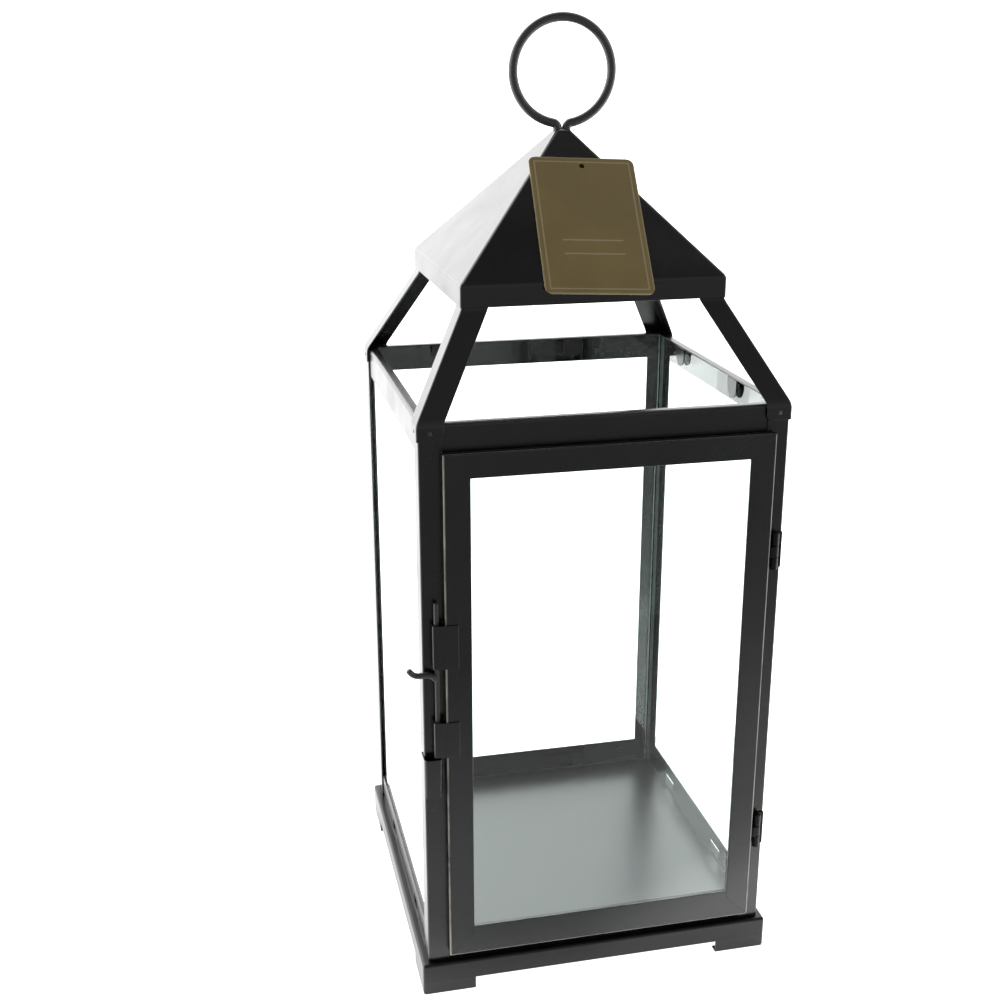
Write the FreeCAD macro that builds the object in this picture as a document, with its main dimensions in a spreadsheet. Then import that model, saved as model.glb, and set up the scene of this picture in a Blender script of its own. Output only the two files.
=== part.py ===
import FreeCAD, Part
import math
import os
import Sketcher
from FreeCAD import Placement, Rotation, Vector

# Candle lantern in folded sheet metal: a tray base on four feet, four angle posts with rails and
# glass, four raking struts that carry a pyramid roof with a wire ring, and a framed glass door with
# a drop bolt. Millimetres, +Z up, the door faces -Y, the origin is on the floor under the middle.

SIZES = {
    # base tray
    "base_margin": 3.25,
    "base_height": 17.0,
    "foot_width": 26.5,
    "foot_gap_height": 6.6,
    "foot_return": 4.0,
    # body
    "body_width": 173.5,
    "knee_height": 292.0,
    "sheet": 0.8,
    "post_leg": 10.5,
    "rail_drop": 14.5,
    "rail_flange": 5.0,
    "sill_height": 13.8,
    "tongue_width": 12.0,
    "tongue_tip": 1.0,
    "tongue_drop": 11.0,
    "tongue_spacing": 75.0,
    "tongue_shift": 7.5,
    "slot_length": 14.0,
    "slot_height": 6.0,
    "slot_lift": 1.5,
    "glass": 2.0,
    "glass_play": 0.4,
    # struts
    "strut_leg": 12.3,
    "collar_height": 7.5,
    "strut_tab": 9.0,
    "rivet_width": 2.4,
    "rivet_rise": 0.5,
    # roof and ring
    "roof_width": 125.0,
    "eave_height": 337.7,
    "skirt_height": 10.0,
    "roof_rise": 66.0,
    "crown_width": 9.8,
    "wire": 4.3,
    "loop_width": 52.4,
    "loop_centre": 436.9,
    "loop_bend": 2.6,
    "loop_tail": 6.0,
    "wire_play": 0.1,
    "tail_gap": 0.1,
    # door
    "door_left": 10.0,
    "door_right": 7.5,
    "door_drop": 12.5,
    "door_lift": 5.0,
    "door_depth": 4.4,
    "door_play": 0.4,
    "stile_face": 12.4,
    "top_face": 11.6,
    "bottom_face": 15.6,
    "back_lip": 6.0,
    # hinges
    "barrel_width": 3.6,
    "pin_width": 1.8,
    "pin_play": 0.05,
    "barrel_offset": 3.1,
    "web_share": 0.8,
    "knuckle": 6.0,
    "knuckle_play": 0.3,
    "lower_hinge": 70.0,
    "upper_hinge": 221.0,
    # latch
    "bolt_wire": 2.3,
    "bolt_play": 0.3,
    "bolt_offset": 3.7,
    "bolt_low": 132.6,
    "bolt_length": 77.0,
    "grip_height": 174.3,
    "grip_reach": 8.0,
    "grip_root": 5.0,
    "grip_curl": 4.5,
    "grip_tip": 2.5,
    "strap_sheet": 0.6,
    "strap_face": 6.2,
    "strap_slope": 0.95,
    "low_strap_base": 132.2,
    "low_strap_height": 18.0,
    "high_strap_base": 177.5,
    "high_strap_height": 21.5,
    "keeper_base": 111.0,
    "keeper_height": 20.0,
    "keeper_wing": 5.5,
    # hang tag
    "tag_width": 50.8,
    "tag_length": 76.2,
    "tag_sheet": 0.8,
    "tag_corner": 3.5,
    "tag_hole": 2.6,
    "tag_hole_drop": 4.8,
    "tag_drop": 22.3,
    "tag_tilt": 3.3,
    "tag_shift": 5.0,
}
DERIVED = {
    "base_width": "body_width + 2 * base_margin",
    "door_width": "body_width - door_left - door_right",
    "door_height": "knee_height - base_height - door_lift - door_drop",
}
GRIP_CURL_ANGLE = 50.0
CROWN_SHEETS = 1.4
TAG_GAP = 0.02
CORNERS = (("front_left", 0), ("front_right", 90), ("back_right", 180), ("back_left", 270))
SIDES = (("front", 0), ("right", 90), ("back", 180), ("left", 270))
GLAZED_SIDES = SIDES[1:]
SLOTTED_SIDES = ("left", "right")

doc = FreeCAD.newDocument("lantern")


def make_sheet():
    """One spreadsheet row for each driving or derived size, with its name as the alias."""
    sheet = doc.addObject("Spreadsheet::Sheet", "Sizes")
    rows = [(name, str(size)) for name, size in SIZES.items()]
    rows += [(name, "=" + formula) for name, formula in DERIVED.items()]
    for row, (name, content) in enumerate(rows, start=1):
        sheet.set(f"A{row}", name)
        sheet.set(f"B{row}", content)
        sheet.setAlias(f"B{row}", name)
    doc.recompute()
    return sheet


SHEET = make_sheet()


def expand(text):
    """Turn the plain names in an expression into references to the sheet."""
    words = []
    for piece in text.replace("(", " ( ").replace(")", " ) ").split():
        words.append(f"Sizes.{piece}" if piece in SIZES or piece in DERIVED else piece)
    return " ".join(words).replace("min (", "min(")


def value(text):
    """The number that an expression has now."""
    return float(SHEET.evalExpression(expand(text)))


def plane(body, role):
    """The body's own origin plane or axis with this role."""
    for feature in body.Origin.OriginFeatures:
        if feature.Role == role:
            return feature
    raise ValueError(role)


def new_body(label, turn=0):
    """A body, turned about the lantern's upright axis."""
    body = doc.addObject("PartDesign::Body", label)
    body.Label = label
    body.Placement = Placement(Vector(0, 0, 0), Rotation(Vector(0, 0, 1), turn))
    return body


def new_sketch(body, role, lift):
    """An empty sketch on an origin plane, lifted along its normal."""
    sketch = body.newObject("Sketcher::SketchObject", body.Name + "_outline")
    sketch.AttachmentSupport = [(plane(body, role), "")]
    sketch.MapMode = "FlatFace"
    sketch.setExpression("AttachmentOffset.Base.z", expand(lift))
    return sketch


def fix_point(sketch, edge, end, across, up):
    """Hold one end of an edge at a place given by two expressions."""
    for kind, text in (("DistanceX", across), ("DistanceY", up)):
        index = sketch.addConstraint(Sketcher.Constraint(kind, -1, 1, edge, end, value(text)))
        sketch.setExpression(f"Constraints[{index}]", expand(text))


def add_polygon(sketch, corners):
    """A closed outline whose corners are pairs of expressions."""
    places = [Vector(value(across), value(up), 0) for across, up in corners]
    first = sketch.GeometryCount
    for start, end in zip(places, places[1:] + places[:1]):
        sketch.addGeometry(Part.LineSegment(start, end), False)
    count = len(places)
    for step in range(count):
        here = first + step
        following = first + (step + 1) % count
        sketch.addConstraint(Sketcher.Constraint("Coincident", here, 2, following, 1))
        fix_point(sketch, here, 1, *corners[step])


def add_circle(sketch, across, up, radius):
    """A circle whose centre and radius are expressions."""
    circle = Part.Circle(Vector(value(across), value(up), 0), Vector(0, 0, 1), value(radius))
    edge = sketch.addGeometry(circle, False)
    fix_point(sketch, edge, 3, across, up)
    index = sketch.addConstraint(Sketcher.Constraint("Radius", edge, value(radius)))
    sketch.setExpression(f"Constraints[{index}]", expand(radius))


def pad(body, role, corners, length, lift="0"):
    """Extrude a polygon along the plane's normal."""
    sketch = new_sketch(body, role, lift)
    add_polygon(sketch, corners)
    return extrude(body, sketch, length)


def extrude(body, sketch, length):
    """Extrude a finished sketch."""
    feature = body.newObject("PartDesign::Pad", body.Name + "_pad")
    feature.Profile = sketch
    feature.setExpression("Length", expand(length))
    return feature


def pocket(body, role, corners, length, lift="0", holes=()):
    """Cut a polygon, or circles, through the solid along the plane's normal."""
    sketch = new_sketch(body, role, lift)
    if corners:
        add_polygon(sketch, corners)
    for hole in holes:
        add_circle(sketch, *hole)
    doc.recompute()
    before = body.Shape.Volume
    feature = body.newObject("PartDesign::Pocket", body.Name + "_cut")
    feature.Profile = sketch
    feature.setExpression("Length", expand(length))
    feature.Reversed = True
    doc.recompute()
    if not body.Shape.Volume < before - 1e-6:
        raise RuntimeError("a cut removed nothing from " + body.Label)
    return feature


def loft(body, first_corners, first_lift, last_corners, last_lift, cut=False):
    """A straight-sided solid, or cut, between two level outlines."""
    first = new_sketch(body, "XY_Plane", first_lift)
    add_polygon(first, first_corners)
    last = new_sketch(body, "XY_Plane", last_lift)
    add_polygon(last, last_corners)
    kind = "PartDesign::SubtractiveLoft" if cut else "PartDesign::AdditiveLoft"
    feature = body.newObject(kind, body.Name + "_loft")
    feature.Profile = first
    feature.Sections = [last]
    feature.Ruled = True
    return feature


def square(half):
    """A centred square outline from its half width."""
    low = f"-1 * ( {half} )"
    return [(low, low), (half, low), (half, half), (low, half)]


def box(left, right, low, high):
    """A rectangle outline from its four sides."""
    return [(left, low), (right, low), (right, high), (left, high)]


def angle(outer, leg, wall):
    """The outline of an angle iron whose outside corner is at -outer, -outer."""
    near = f"-1 * ( {outer} )"
    inside = f"{near} + {wall}"
    far = f"{near} + {leg}"
    return [(near, near), (far, near), (far, inside), (inside, inside), (inside, far), (near, far)]


def round_edges(body, wanted, radius):
    """Round the edges of the body's present shape that pass a test on their middle point."""
    doc.recompute()
    names = []
    for number, edge in enumerate(body.Shape.Edges, start=1):
        if wanted(edge):
            names.append(f"Edge{number}")
    feature = body.newObject("PartDesign::Fillet", body.Name + "_round")
    feature.Base = (body.Tip if body.Tip != feature else feature.BaseFeature, names)
    feature.setExpression("Radius", expand(radius))
    return feature


# ---------------------------------------------------------------- base

def make_base():
    """A tray folded downwards, with a long cut in each wall that leaves four corner feet."""
    body = new_body("base_tray")
    pad(body, "XY_Plane", square("base_width / 2"), "base_height")
    pocket(body, "XY_Plane", square("base_width / 2 - sheet"), "base_height - sheet")
    half_cut = "base_width / 2 - foot_width"
    cut = box(f"-1 * ( {half_cut} )", half_cut, "0", "foot_gap_height")
    for role in ("XZ_Plane", "YZ_Plane"):
        pocket(body, role, cut, "base_width * 2", "-1 * base_width")
    foot = pad(body, "XY_Plane", angle("base_width / 2 - sheet", "foot_width - sheet", "foot_return"),
               "sheet")
    pattern = body.newObject("PartDesign::PolarPattern", "feet")
    pattern.Originals = [foot]
    pattern.Axis = (plane(body, "Z_Axis"), [""])
    pattern.Angle = 360
    pattern.Occurrences = 4
    body.Tip = pattern
    return body


# ---------------------------------------------------------------- body of the lantern

def make_post(name, turn):
    """An angle post from the tray up to the knee."""
    body = new_body("corner_post_" + name, turn)
    pad(body, "XY_Plane", angle("body_width / 2", "post_leg", "sheet"),
        "knee_height - base_height", "base_height")
    return body


def mitred(outer, depth, lift=""):
    """A strip along the -Y side whose ends are cut at 45 degrees, from its outside distance."""
    near = f"-1 * ( {outer} )"
    inner = f"{outer} - {depth}"
    back = f"-1 * ( {inner} )"
    return [(near, near), (outer, near), (inner, back), (back, back)]


def tongue_places():
    """The distances of the glass tongues from the middle of a side."""
    return ("tongue_shift - tongue_spacing / 2", "tongue_shift + tongue_spacing / 2")


def make_top_rail(name, turn):
    """A rail inside the posts with a level flange and, on glazed sides, two glass tongues."""
    body = new_body("top_rail_" + name, turn)
    outer = "body_width / 2 - sheet"
    pad(body, "XY_Plane", mitred(outer, "sheet"), "rail_drop - sheet", "knee_height - rail_drop")
    pad(body, "XY_Plane", mitred(outer, "rail_flange"), "sheet", "knee_height - sheet")
    if name != "front":
        edge = "-1 * ( body_width / 2 - sheet - rail_flange )"
        for middle in tongue_places():
            outline = box(f"{middle} - tongue_width / 2", f"{middle} + tongue_width / 2",
                          f"{edge} - sheet", edge)
            pad(body, "XY_Plane", outline, "tongue_drop - sheet", "knee_height - tongue_drop")
        round_edges(body, is_tongue_corner, "( tongue_width - tongue_tip ) / 2")
    return body


def is_tongue_corner(edge):
    """True for the short level edges at a tongue's two lower corners."""
    low = value("knee_height - tongue_drop")
    level = all(abs(vertex.Z - low) < 0.01 for vertex in edge.Vertexes)
    return level and len(edge.Vertexes) == 2 and abs(edge.Length - SIZES["sheet"]) < 0.01


def make_sill(name, turn):
    """A rail that stands on the tray inside the posts; the left and right ones have two slots."""
    body = new_body("bottom_rail_" + name, turn)
    outer = "body_width / 2 - sheet"
    back = "-1 * ( body_width / 2 - sheet - sheet )"
    half = "body_width / 2 - 2 * sheet"
    pad(body, "XY_Plane", box(f"-1 * ( {half} )", half, f"-1 * ( {outer} )", back),
        "sill_height", "base_height")
    if name in SLOTTED_SIDES:
        for middle in tongue_places():
            slot = box(f"{middle} - slot_length / 2", f"{middle} + slot_length / 2",
                       "base_height + slot_lift", "base_height + slot_lift + slot_height")
            pocket(body, "XZ_Plane", slot, "body_width", "0")
    return body


def make_side_glass(name, turn):
    """A loose pane behind a side's rails."""
    body = new_body("glass_" + name, turn)
    front = "body_width / 2 - 2 * sheet"
    half = "body_width / 2 - 2 * sheet - glass - glass_play"
    outline = box(f"-1 * ( {half} )", half, "base_height", "knee_height - sheet - glass_play")
    pad(body, "XZ_Plane", outline, "glass", f"{front} - glass")
    return body


def make_strut(name, turn):
    """A raking angle with an upright collar round the post and an upright tab inside the roof."""
    body = new_body("roof_strut_" + name, turn)
    low = angle("body_width / 2 + sheet", "strut_leg", "sheet")
    high = angle("roof_width / 2 - sheet", "strut_leg", "sheet")
    pad(body, "XY_Plane", low, "collar_height", "knee_height - collar_height")
    loft(body, low, "knee_height", high, "eave_height")
    pad(body, "XY_Plane", high, "strut_tab", "eave_height")
    return body


# ---------------------------------------------------------------- roof

def make_roof():
    """A hollow pyramid with an upright skirt and a small flat crown, slotted for the ring."""
    body = new_body("roof_cap")
    top = "eave_height + skirt_height"
    crown = "eave_height + skirt_height + roof_rise - crown_width / 2 * roof_rise / ( roof_width / 2 )"
    pad(body, "XY_Plane", square("roof_width / 2"), "skirt_height", "eave_height")
    loft(body, square("roof_width / 2"), top, square("crown_width / 2"), crown)
    pocket(body, "XY_Plane", square("roof_width / 2 - sheet"), "skirt_height", "eave_height")
    loft(body, square("roof_width / 2 - sheet"), top, square("crown_width / 2 - sheet"),
         f"{crown} - {CROWN_SHEETS} * sheet", cut=True)
    slot = box("-1 * ( wire + wire_play )", "wire + wire_play",
               "-1 * ( wire / 2 + wire_play )", "wire / 2 + wire_play")
    pocket(body, "XY_Plane", slot, "roof_rise", top)
    return body


def ring_path():
    """The centre line of the ring: two tails side by side that open into a round loop."""
    big = value("loop_width / 2 - wire / 2")
    small = SIZES["loop_bend"]
    centre = SIZES["loop_centre"]
    tail_x = value("( wire + tail_gap ) / 2")
    rise = math.sqrt((big + small) ** 2 - (tail_x + small) ** 2)
    bend_z = centre - rise
    touch = Vector((tail_x + small) * big / (big + small), 0, centre - rise * big / (big + small))
    away = math.atan2(touch.z - bend_z, touch.x - tail_x - small)
    middle = (math.pi + away) / 2
    bend = Vector(tail_x + small + small * math.cos(middle), 0, bend_z + small * math.sin(middle))
    foot = Vector(tail_x, 0, bend_z - SIZES["loop_tail"])
    start = Vector(tail_x, 0, bend_z)

    def other(point):
        return Vector(-point.x, 0, point.z)

    edges = [
        Part.LineSegment(foot, start).toShape(),
        Part.Arc(start, bend, touch).toShape(),
        Part.Arc(touch, Vector(0, 0, centre + big), other(touch)).toShape(),
        Part.Arc(other(touch), other(bend), other(start)).toShape(),
        Part.LineSegment(other(start), other(foot)).toShape(),
    ]
    return Part.Wire(edges)


def sweep(path, start, direction, radius):
    """A round wire along a path."""
    section = Part.Wire([Part.Circle(start, direction, radius).toShape()])
    pipe = path.makePipeShell([section], True, False, 2)
    return pipe


def make_ring():
    """One bent wire, its two ends side by side through the roof's crown."""
    path = ring_path()
    ring = doc.addObject("Part::Feature", "hanging_ring")
    ring.Label = "hanging_ring"
    start = path.OrderedVertexes[0].Point
    ring.Shape = sweep(path, start, Vector(0, 0, 1), SIZES["wire"] / 2)
    ring.Placement = Placement()
    return ring


# ---------------------------------------------------------------- door

DOOR_X = "( -1 * body_width / 2 + door_left )"
DOOR_Z = "( base_height + door_lift )"
DOOR_BACK = "( body_width / 2 + door_play )"
DOOR_FRONT = "( body_width / 2 + door_play + door_depth )"


def door_outline(points):
    """Shift an outline from the door's own lower left corner to its place."""
    return [(f"{DOOR_X} + {across}", f"{DOOR_Z} + {up}") for across, up in points]


def frame_strip(label, face, lip, web):
    """A folded channel: a face, a lip behind it and the web between them."""
    body = new_body(label)
    pad(body, "XZ_Plane", door_outline(face), "sheet", f"{DOOR_FRONT} - sheet")
    pad(body, "XZ_Plane", door_outline(web), "door_depth - 2 * sheet", f"{DOOR_BACK} + sheet")
    pad(body, "XZ_Plane", door_outline(lip), "sheet", DOOR_BACK)
    return body


def stile_shape(face, top, bottom):
    """A left stile's outline, cut at 45 degrees towards a top and a bottom rail."""
    return [("0", "0"),
            (f"min ( {face} ; {bottom} )", f"min ( {face} ; {bottom} )"),
            (face, f"min ( {face} ; {bottom} )"),
            (face, f"door_height - min ( {face} ; {top} )"),
            (f"min ( {face} ; {top} )", f"door_height - min ( {face} ; {top} )"),
            ("0", "door_height")]


def rail_shape(stile, face):
    """A bottom rail's outline, cut at 45 degrees towards the two stiles."""
    cut = f"min ( {stile} ; {face} )"
    return [("0", "0"), ("door_width", "0"),
            (f"door_width - {cut}", cut), (f"door_width - {cut}", face),
            (cut, face), (cut, cut)]


def tidy_outline(points):
    """Drop corners that fall on the one before or in line with their neighbours."""
    kept = []
    count = len(points)
    places = [Vector(value(across), value(up), 0) for across, up in points]
    for index in range(count):
        before = places[index] - places[index - 1]
        after = places[(index + 1) % count] - places[index]
        if before.Length < 1e-6:
            continue
        if after.Length > 1e-6 and before.cross(after).Length < 1e-6:
            continue
        kept.append(points[index])
    return kept


def flip_across(points):
    """The same outline on the door's right-hand side."""
    return [(f"door_width - ( {across} )", up) for across, up in reversed(points)]


def flip_up(points):
    """The same outline at the door's top."""
    return [(across, f"door_height - ( {up} )") for across, up in reversed(points)]


def make_door_frame():
    """Two stiles and two rails, mitred at the corners."""
    stile = tidy_outline(stile_shape("stile_face", "top_face", "bottom_face"))
    stile_lip = tidy_outline(stile_shape("back_lip", "back_lip", "back_lip"))
    stile_web = box("0", "sheet", "0", "door_height")
    pieces = [frame_strip("door_stile_left", stile, stile_lip, stile_web),
              frame_strip("door_stile_right", flip_across(stile), flip_across(stile_lip),
                          flip_across(stile_web))]
    rail_lip = tidy_outline(rail_shape("back_lip", "back_lip"))
    rail_web = box("sheet", "door_width - sheet", "0", "sheet")
    low_face = tidy_outline(rail_shape("stile_face", "bottom_face"))
    high_face = tidy_outline(rail_shape("stile_face", "top_face"))
    pieces.append(frame_strip("door_rail_bottom", low_face, rail_lip, rail_web))
    pieces.append(frame_strip("door_rail_top", flip_up(high_face), flip_up(rail_lip),
                              flip_up(rail_web)))
    return pieces


def make_door_glass():
    """A pane inside the channels of the door's frame."""
    body = new_body("door_glass")
    edge = "sheet + glass_play"
    outline = box(edge, f"door_width - ( {edge} )", edge, f"door_height - ( {edge} )")
    pad(body, "XZ_Plane", door_outline(outline), "glass",
        f"{DOOR_BACK} + ( door_depth - glass ) / 2")
    return body


# ---------------------------------------------------------------- hinges

HINGE_X = "( -1 * body_width / 2 + door_left + door_width + barrel_offset )"
HINGE_Y = "( -1 * body_width / 2 - sheet - barrel_width / 2 )"


def ring_pad(body, hole, length, lift):
    """A hinge knuckle: a short tube round the hinge axis."""
    sketch = new_sketch(body, "XY_Plane", lift)
    add_circle(sketch, HINGE_X, HINGE_Y, "barrel_width / 2")
    extrude(body, sketch, length)
    pocket(body, "XY_Plane", None, length, lift, holes=[(HINGE_X, HINGE_Y, hole)])


def make_post_leaf(name, middle):
    """The fixed leaf: a plate on the post's front with a knuckle at each end."""
    body = new_body("hinge_leaf_post_" + name)
    base = f"( {middle} - 1.5 * knuckle )"
    plate = box(f"{HINGE_X} - barrel_width / 2", "body_width / 2",
                f"{HINGE_Y} + barrel_width / 2", "-1 * body_width / 2")
    pad(body, "XY_Plane", plate, "3 * knuckle", base)
    for step in (0, 2):
        lift = f"{base} + {step} * knuckle"
        web = box(f"{HINGE_X} + web_share * barrel_width / 2", f"{HINGE_X} + barrel_width / 2",
                  HINGE_Y, f"{HINGE_Y} + barrel_width / 2")
        pad(body, "XY_Plane", web, "knuckle", lift)
        ring_pad(body, "pin_width / 2", "knuckle", lift)
    return body


def make_door_leaf(name, middle):
    """The moving leaf: a plate on the door's edge with one knuckle in the middle."""
    body = new_body("hinge_leaf_door_" + name)
    edge = "( -1 * body_width / 2 + door_left + door_width )"
    base = f"( {middle} - 0.5 * knuckle + knuckle_play )"
    length = "knuckle - 2 * knuckle_play"
    plate = box(edge, f"{edge} + strap_sheet", f"-1 * {DOOR_FRONT}", f"{HINGE_Y} + barrel_width / 4")
    pad(body, "XY_Plane", plate, length, base)
    front = f"{HINGE_Y} - barrel_width / 2"
    arm = box(f"{edge} + strap_sheet / 2", HINGE_X, front, f"{front} + strap_sheet")
    pad(body, "XY_Plane", arm, length, base)
    ring_pad(body, "pin_width / 2 + pin_play", length, base)
    return body


def make_pin(name, middle):
    """A plain hinge pin as long as the barrel."""
    pin = doc.addObject("Part::Cylinder", "hinge_pin_" + name)
    pin.Label = "hinge_pin_" + name
    pin.setExpression("Radius", expand("pin_width / 2"))
    pin.setExpression("Height", expand("3 * knuckle"))
    pin.Placement = Placement(Vector(value(HINGE_X), value(HINGE_Y),
                                     value(f"{middle} - 1.5 * knuckle")), Rotation())
    return pin


# ---------------------------------------------------------------- latch

BOLT_X = f"( {DOOR_X} - bolt_offset )"
BOLT_BACK = "( -1 * body_width / 2 - door_play - strap_sheet )"
BOLT_Y = f"( {BOLT_BACK} - bolt_play - bolt_wire / 2 )"


def make_strap(label, base, height):
    """A strap on the door's face that wraps round the bolt and back to the door's edge."""
    body = new_body(label)
    door_edge = DOOR_X
    front = f"-1 * {DOOR_FRONT}"
    left = f"( {BOLT_X} - bolt_wire / 2 - bolt_play )"
    outline = [(f"{door_edge} + strap_face", front),
               (f"{door_edge} + strap_face", f"{front} - strap_sheet"),
               (door_edge, f"{front} - strap_sheet"),
               (f"{left} - strap_sheet", f"{front} + strap_slope - strap_sheet"),
               (f"{left} - strap_sheet", f"{BOLT_BACK} + strap_sheet"),
               (door_edge, f"{BOLT_BACK} + strap_sheet"),
               (door_edge, BOLT_BACK),
               (left, BOLT_BACK),
               (left, f"{front} + strap_slope"),
               (door_edge, front)]
    pad(body, "XY_Plane", outline, height, base)
    return body


def make_keeper():
    """A strap on the post that makes the pocket the bolt drops into."""
    body = new_body("latch_keeper")
    side = "-1 * body_width / 2"
    face = "-1 * body_width / 2"
    right = f"( {BOLT_X} + bolt_wire / 2 + bolt_play )"
    front = f"( {BOLT_Y} - bolt_wire / 2 - bolt_play )"
    outline = [(f"{side} - strap_sheet", f"{face} + keeper_wing"),
               (f"{side} - strap_sheet", f"{front} - strap_sheet"),
               (f"{right} + strap_sheet", f"{front} - strap_sheet"),
               (f"{right} + strap_sheet", face),
               (right, face),
               (right, front),
               (side, front),
               (side, f"{face} + keeper_wing")]
    pad(body, "XY_Plane", outline, "keeper_height", "keeper_base")
    return body


def make_bolt():
    """A straight wire bolt with a grip that turns out to the left and curls up at its tip."""
    across = value(BOLT_X)
    depth = value(BOLT_Y)
    radius = SIZES["bolt_wire"] / 2
    base = Vector(across, depth, SIZES["bolt_low"])
    rod = Part.makeCylinder(radius, SIZES["bolt_length"], base)
    root = SIZES["grip_root"]
    curl = SIZES["grip_curl"]
    level = SIZES["grip_height"]
    turn = math.radians(GRIP_CURL_ANGLE)
    half = math.sqrt(0.5)
    start = Vector(across, depth, level - root)
    bent = Vector(across - root, depth, level)
    between = Vector(across - root + root * half, depth, level - root + root * half)
    far = Vector(across - root - SIZES["grip_reach"] + curl, depth, level)
    over = Vector(far.x - curl * math.sin(turn), depth, level + curl * (1 - math.cos(turn)))
    part_way = Vector(far.x - curl * math.sin(turn / 2), depth, level + curl * (1 - math.cos(turn / 2)))
    tip = over + Vector(-math.cos(turn), 0, math.sin(turn)) * SIZES["grip_tip"]
    path = Part.Wire([Part.Arc(start, between, bent).toShape(),
                      Part.LineSegment(bent, far).toShape(),
                      Part.Arc(far, part_way, over).toShape(),
                      Part.LineSegment(over, tip).toShape()])
    grip = sweep(path, start, Vector(0, 0, 1), radius)
    bolt = doc.addObject("Part::Feature", "latch_bolt")
    bolt.Label = "latch_bolt"
    bolt.Shape = rod.fuse(grip).removeSplitter()
    bolt.Placement = Placement()
    return bolt


# ---------------------------------------------------------------- small pieces

def make_rivets():
    """A low round head on each face of the four knee collars, as one group."""
    radius = SIZES["rivet_width"] / 2
    rise = SIZES["rivet_rise"]
    face = value("body_width / 2 + sheet")
    across = value("body_width / 2 + sheet - strut_leg / 2")
    height = value("knee_height - collar_height / 2")
    heads = []
    for turn in (0, 90, 180, 270):
        for side in (-1, 1):
            head = Part.makeCylinder(radius, rise, Vector(side * across, -face, height), Vector(0, -1, 0))
            head.rotate(Vector(0, 0, 0), Vector(0, 0, 1), turn)
            heads.append(head)
    rivets = doc.addObject("Part::Feature", "knee_rivets")
    rivets.Label = "knee_rivets"
    rivets.Shape = Part.makeCompound(heads)
    rivets.Placement = Placement()
    return rivets


def make_tag():
    """A blank card tag on the roof's front slope, a little askew, past the eave at its foot."""
    body = new_body("hang_tag")
    half = "tag_width / 2"
    pad(body, "XY_Plane", box(f"-1 * {half}", half, "-1 * tag_length", "0"), "tag_sheet")
    pocket(body, "XY_Plane", None, "tag_sheet", "0",
           holes=[("0", "-1 * tag_hole_drop", "tag_hole / 2")])
    round_edges(body, is_tag_corner, "tag_corner")
    slope = math.degrees(math.atan2(SIZES["roof_rise"], SIZES["roof_width"] / 2))
    apex = value("eave_height + skirt_height + roof_rise")
    lie = Rotation(Vector(1, 0, 0), slope)
    askew = Rotation(Vector(0, 0, 1), -SIZES["tag_tilt"])
    lift = lie.multVec(Vector(0, 0, TAG_GAP))
    down = lie.multVec(Vector(SIZES["tag_shift"], -SIZES["tag_drop"], 0))
    body.Placement = Placement(Vector(0, 0, apex) + down + lift, lie * askew)
    return body


def is_tag_corner(edge):
    """True for the tag's four upright corner edges."""
    upright = len(edge.Vertexes) == 2 and abs(edge.Length - SIZES["tag_sheet"]) < 0.01
    return upright and abs(abs(edge.Vertexes[0].X) - SIZES["tag_width"] / 2) < 0.01


# ---------------------------------------------------------------- assembly

def make_all():
    """Every piece of the lantern."""
    pieces = [make_base(), make_roof(), make_ring()]
    for name, turn in CORNERS:
        pieces.append(make_post(name, turn))
        pieces.append(make_strut(name, turn))
    for name, turn in SIDES:
        pieces.append(make_top_rail(name, turn))
        pieces.append(make_sill(name, turn))
    for name, turn in GLAZED_SIDES:
        pieces.append(make_side_glass(name, turn))
    pieces.extend(make_door_frame())
    pieces.append(make_door_glass())
    for name, middle in (("lower", "lower_hinge"), ("upper", "upper_hinge")):
        pieces.append(make_post_leaf(name, middle))
        pieces.append(make_door_leaf(name, middle))
        pieces.append(make_pin(name, middle))
    pieces.append(make_strap("latch_strap_lower", "low_strap_base", "low_strap_height"))
    pieces.append(make_strap("latch_strap_upper", "high_strap_base", "high_strap_height"))
    pieces.append(make_keeper())
    pieces.append(make_bolt())
    pieces.append(make_rivets())
    pieces.append(make_tag())
    return pieces


def check_and_write(pieces):
    """Stop at any failed feature or bad shape, then write each piece to its own file."""
    doc.recompute()
    for item in doc.Objects:
        if "Invalid" in item.State or "Error" in item.State:
            raise RuntimeError("failed feature: " + item.Name)
    for piece in pieces:
        if piece.Shape.isNull() or not piece.Shape.isValid():
            raise RuntimeError("bad shape: " + piece.Label)
    os.makedirs("parts", exist_ok=True)
    for piece in pieces:
        piece.Shape.exportStep(os.path.join("parts", piece.Label + ".step"))
        print(f"{piece.Label}: {len(piece.Shape.Solids)} solid(s), {piece.Shape.Volume:.1f} mm3")


check_and_write(make_all())
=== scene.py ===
import math

import bmesh
import bpy
from bpy.props import FloatProperty, FloatVectorProperty, IntProperty, PointerProperty
from mathutils import Matrix, Vector


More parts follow.
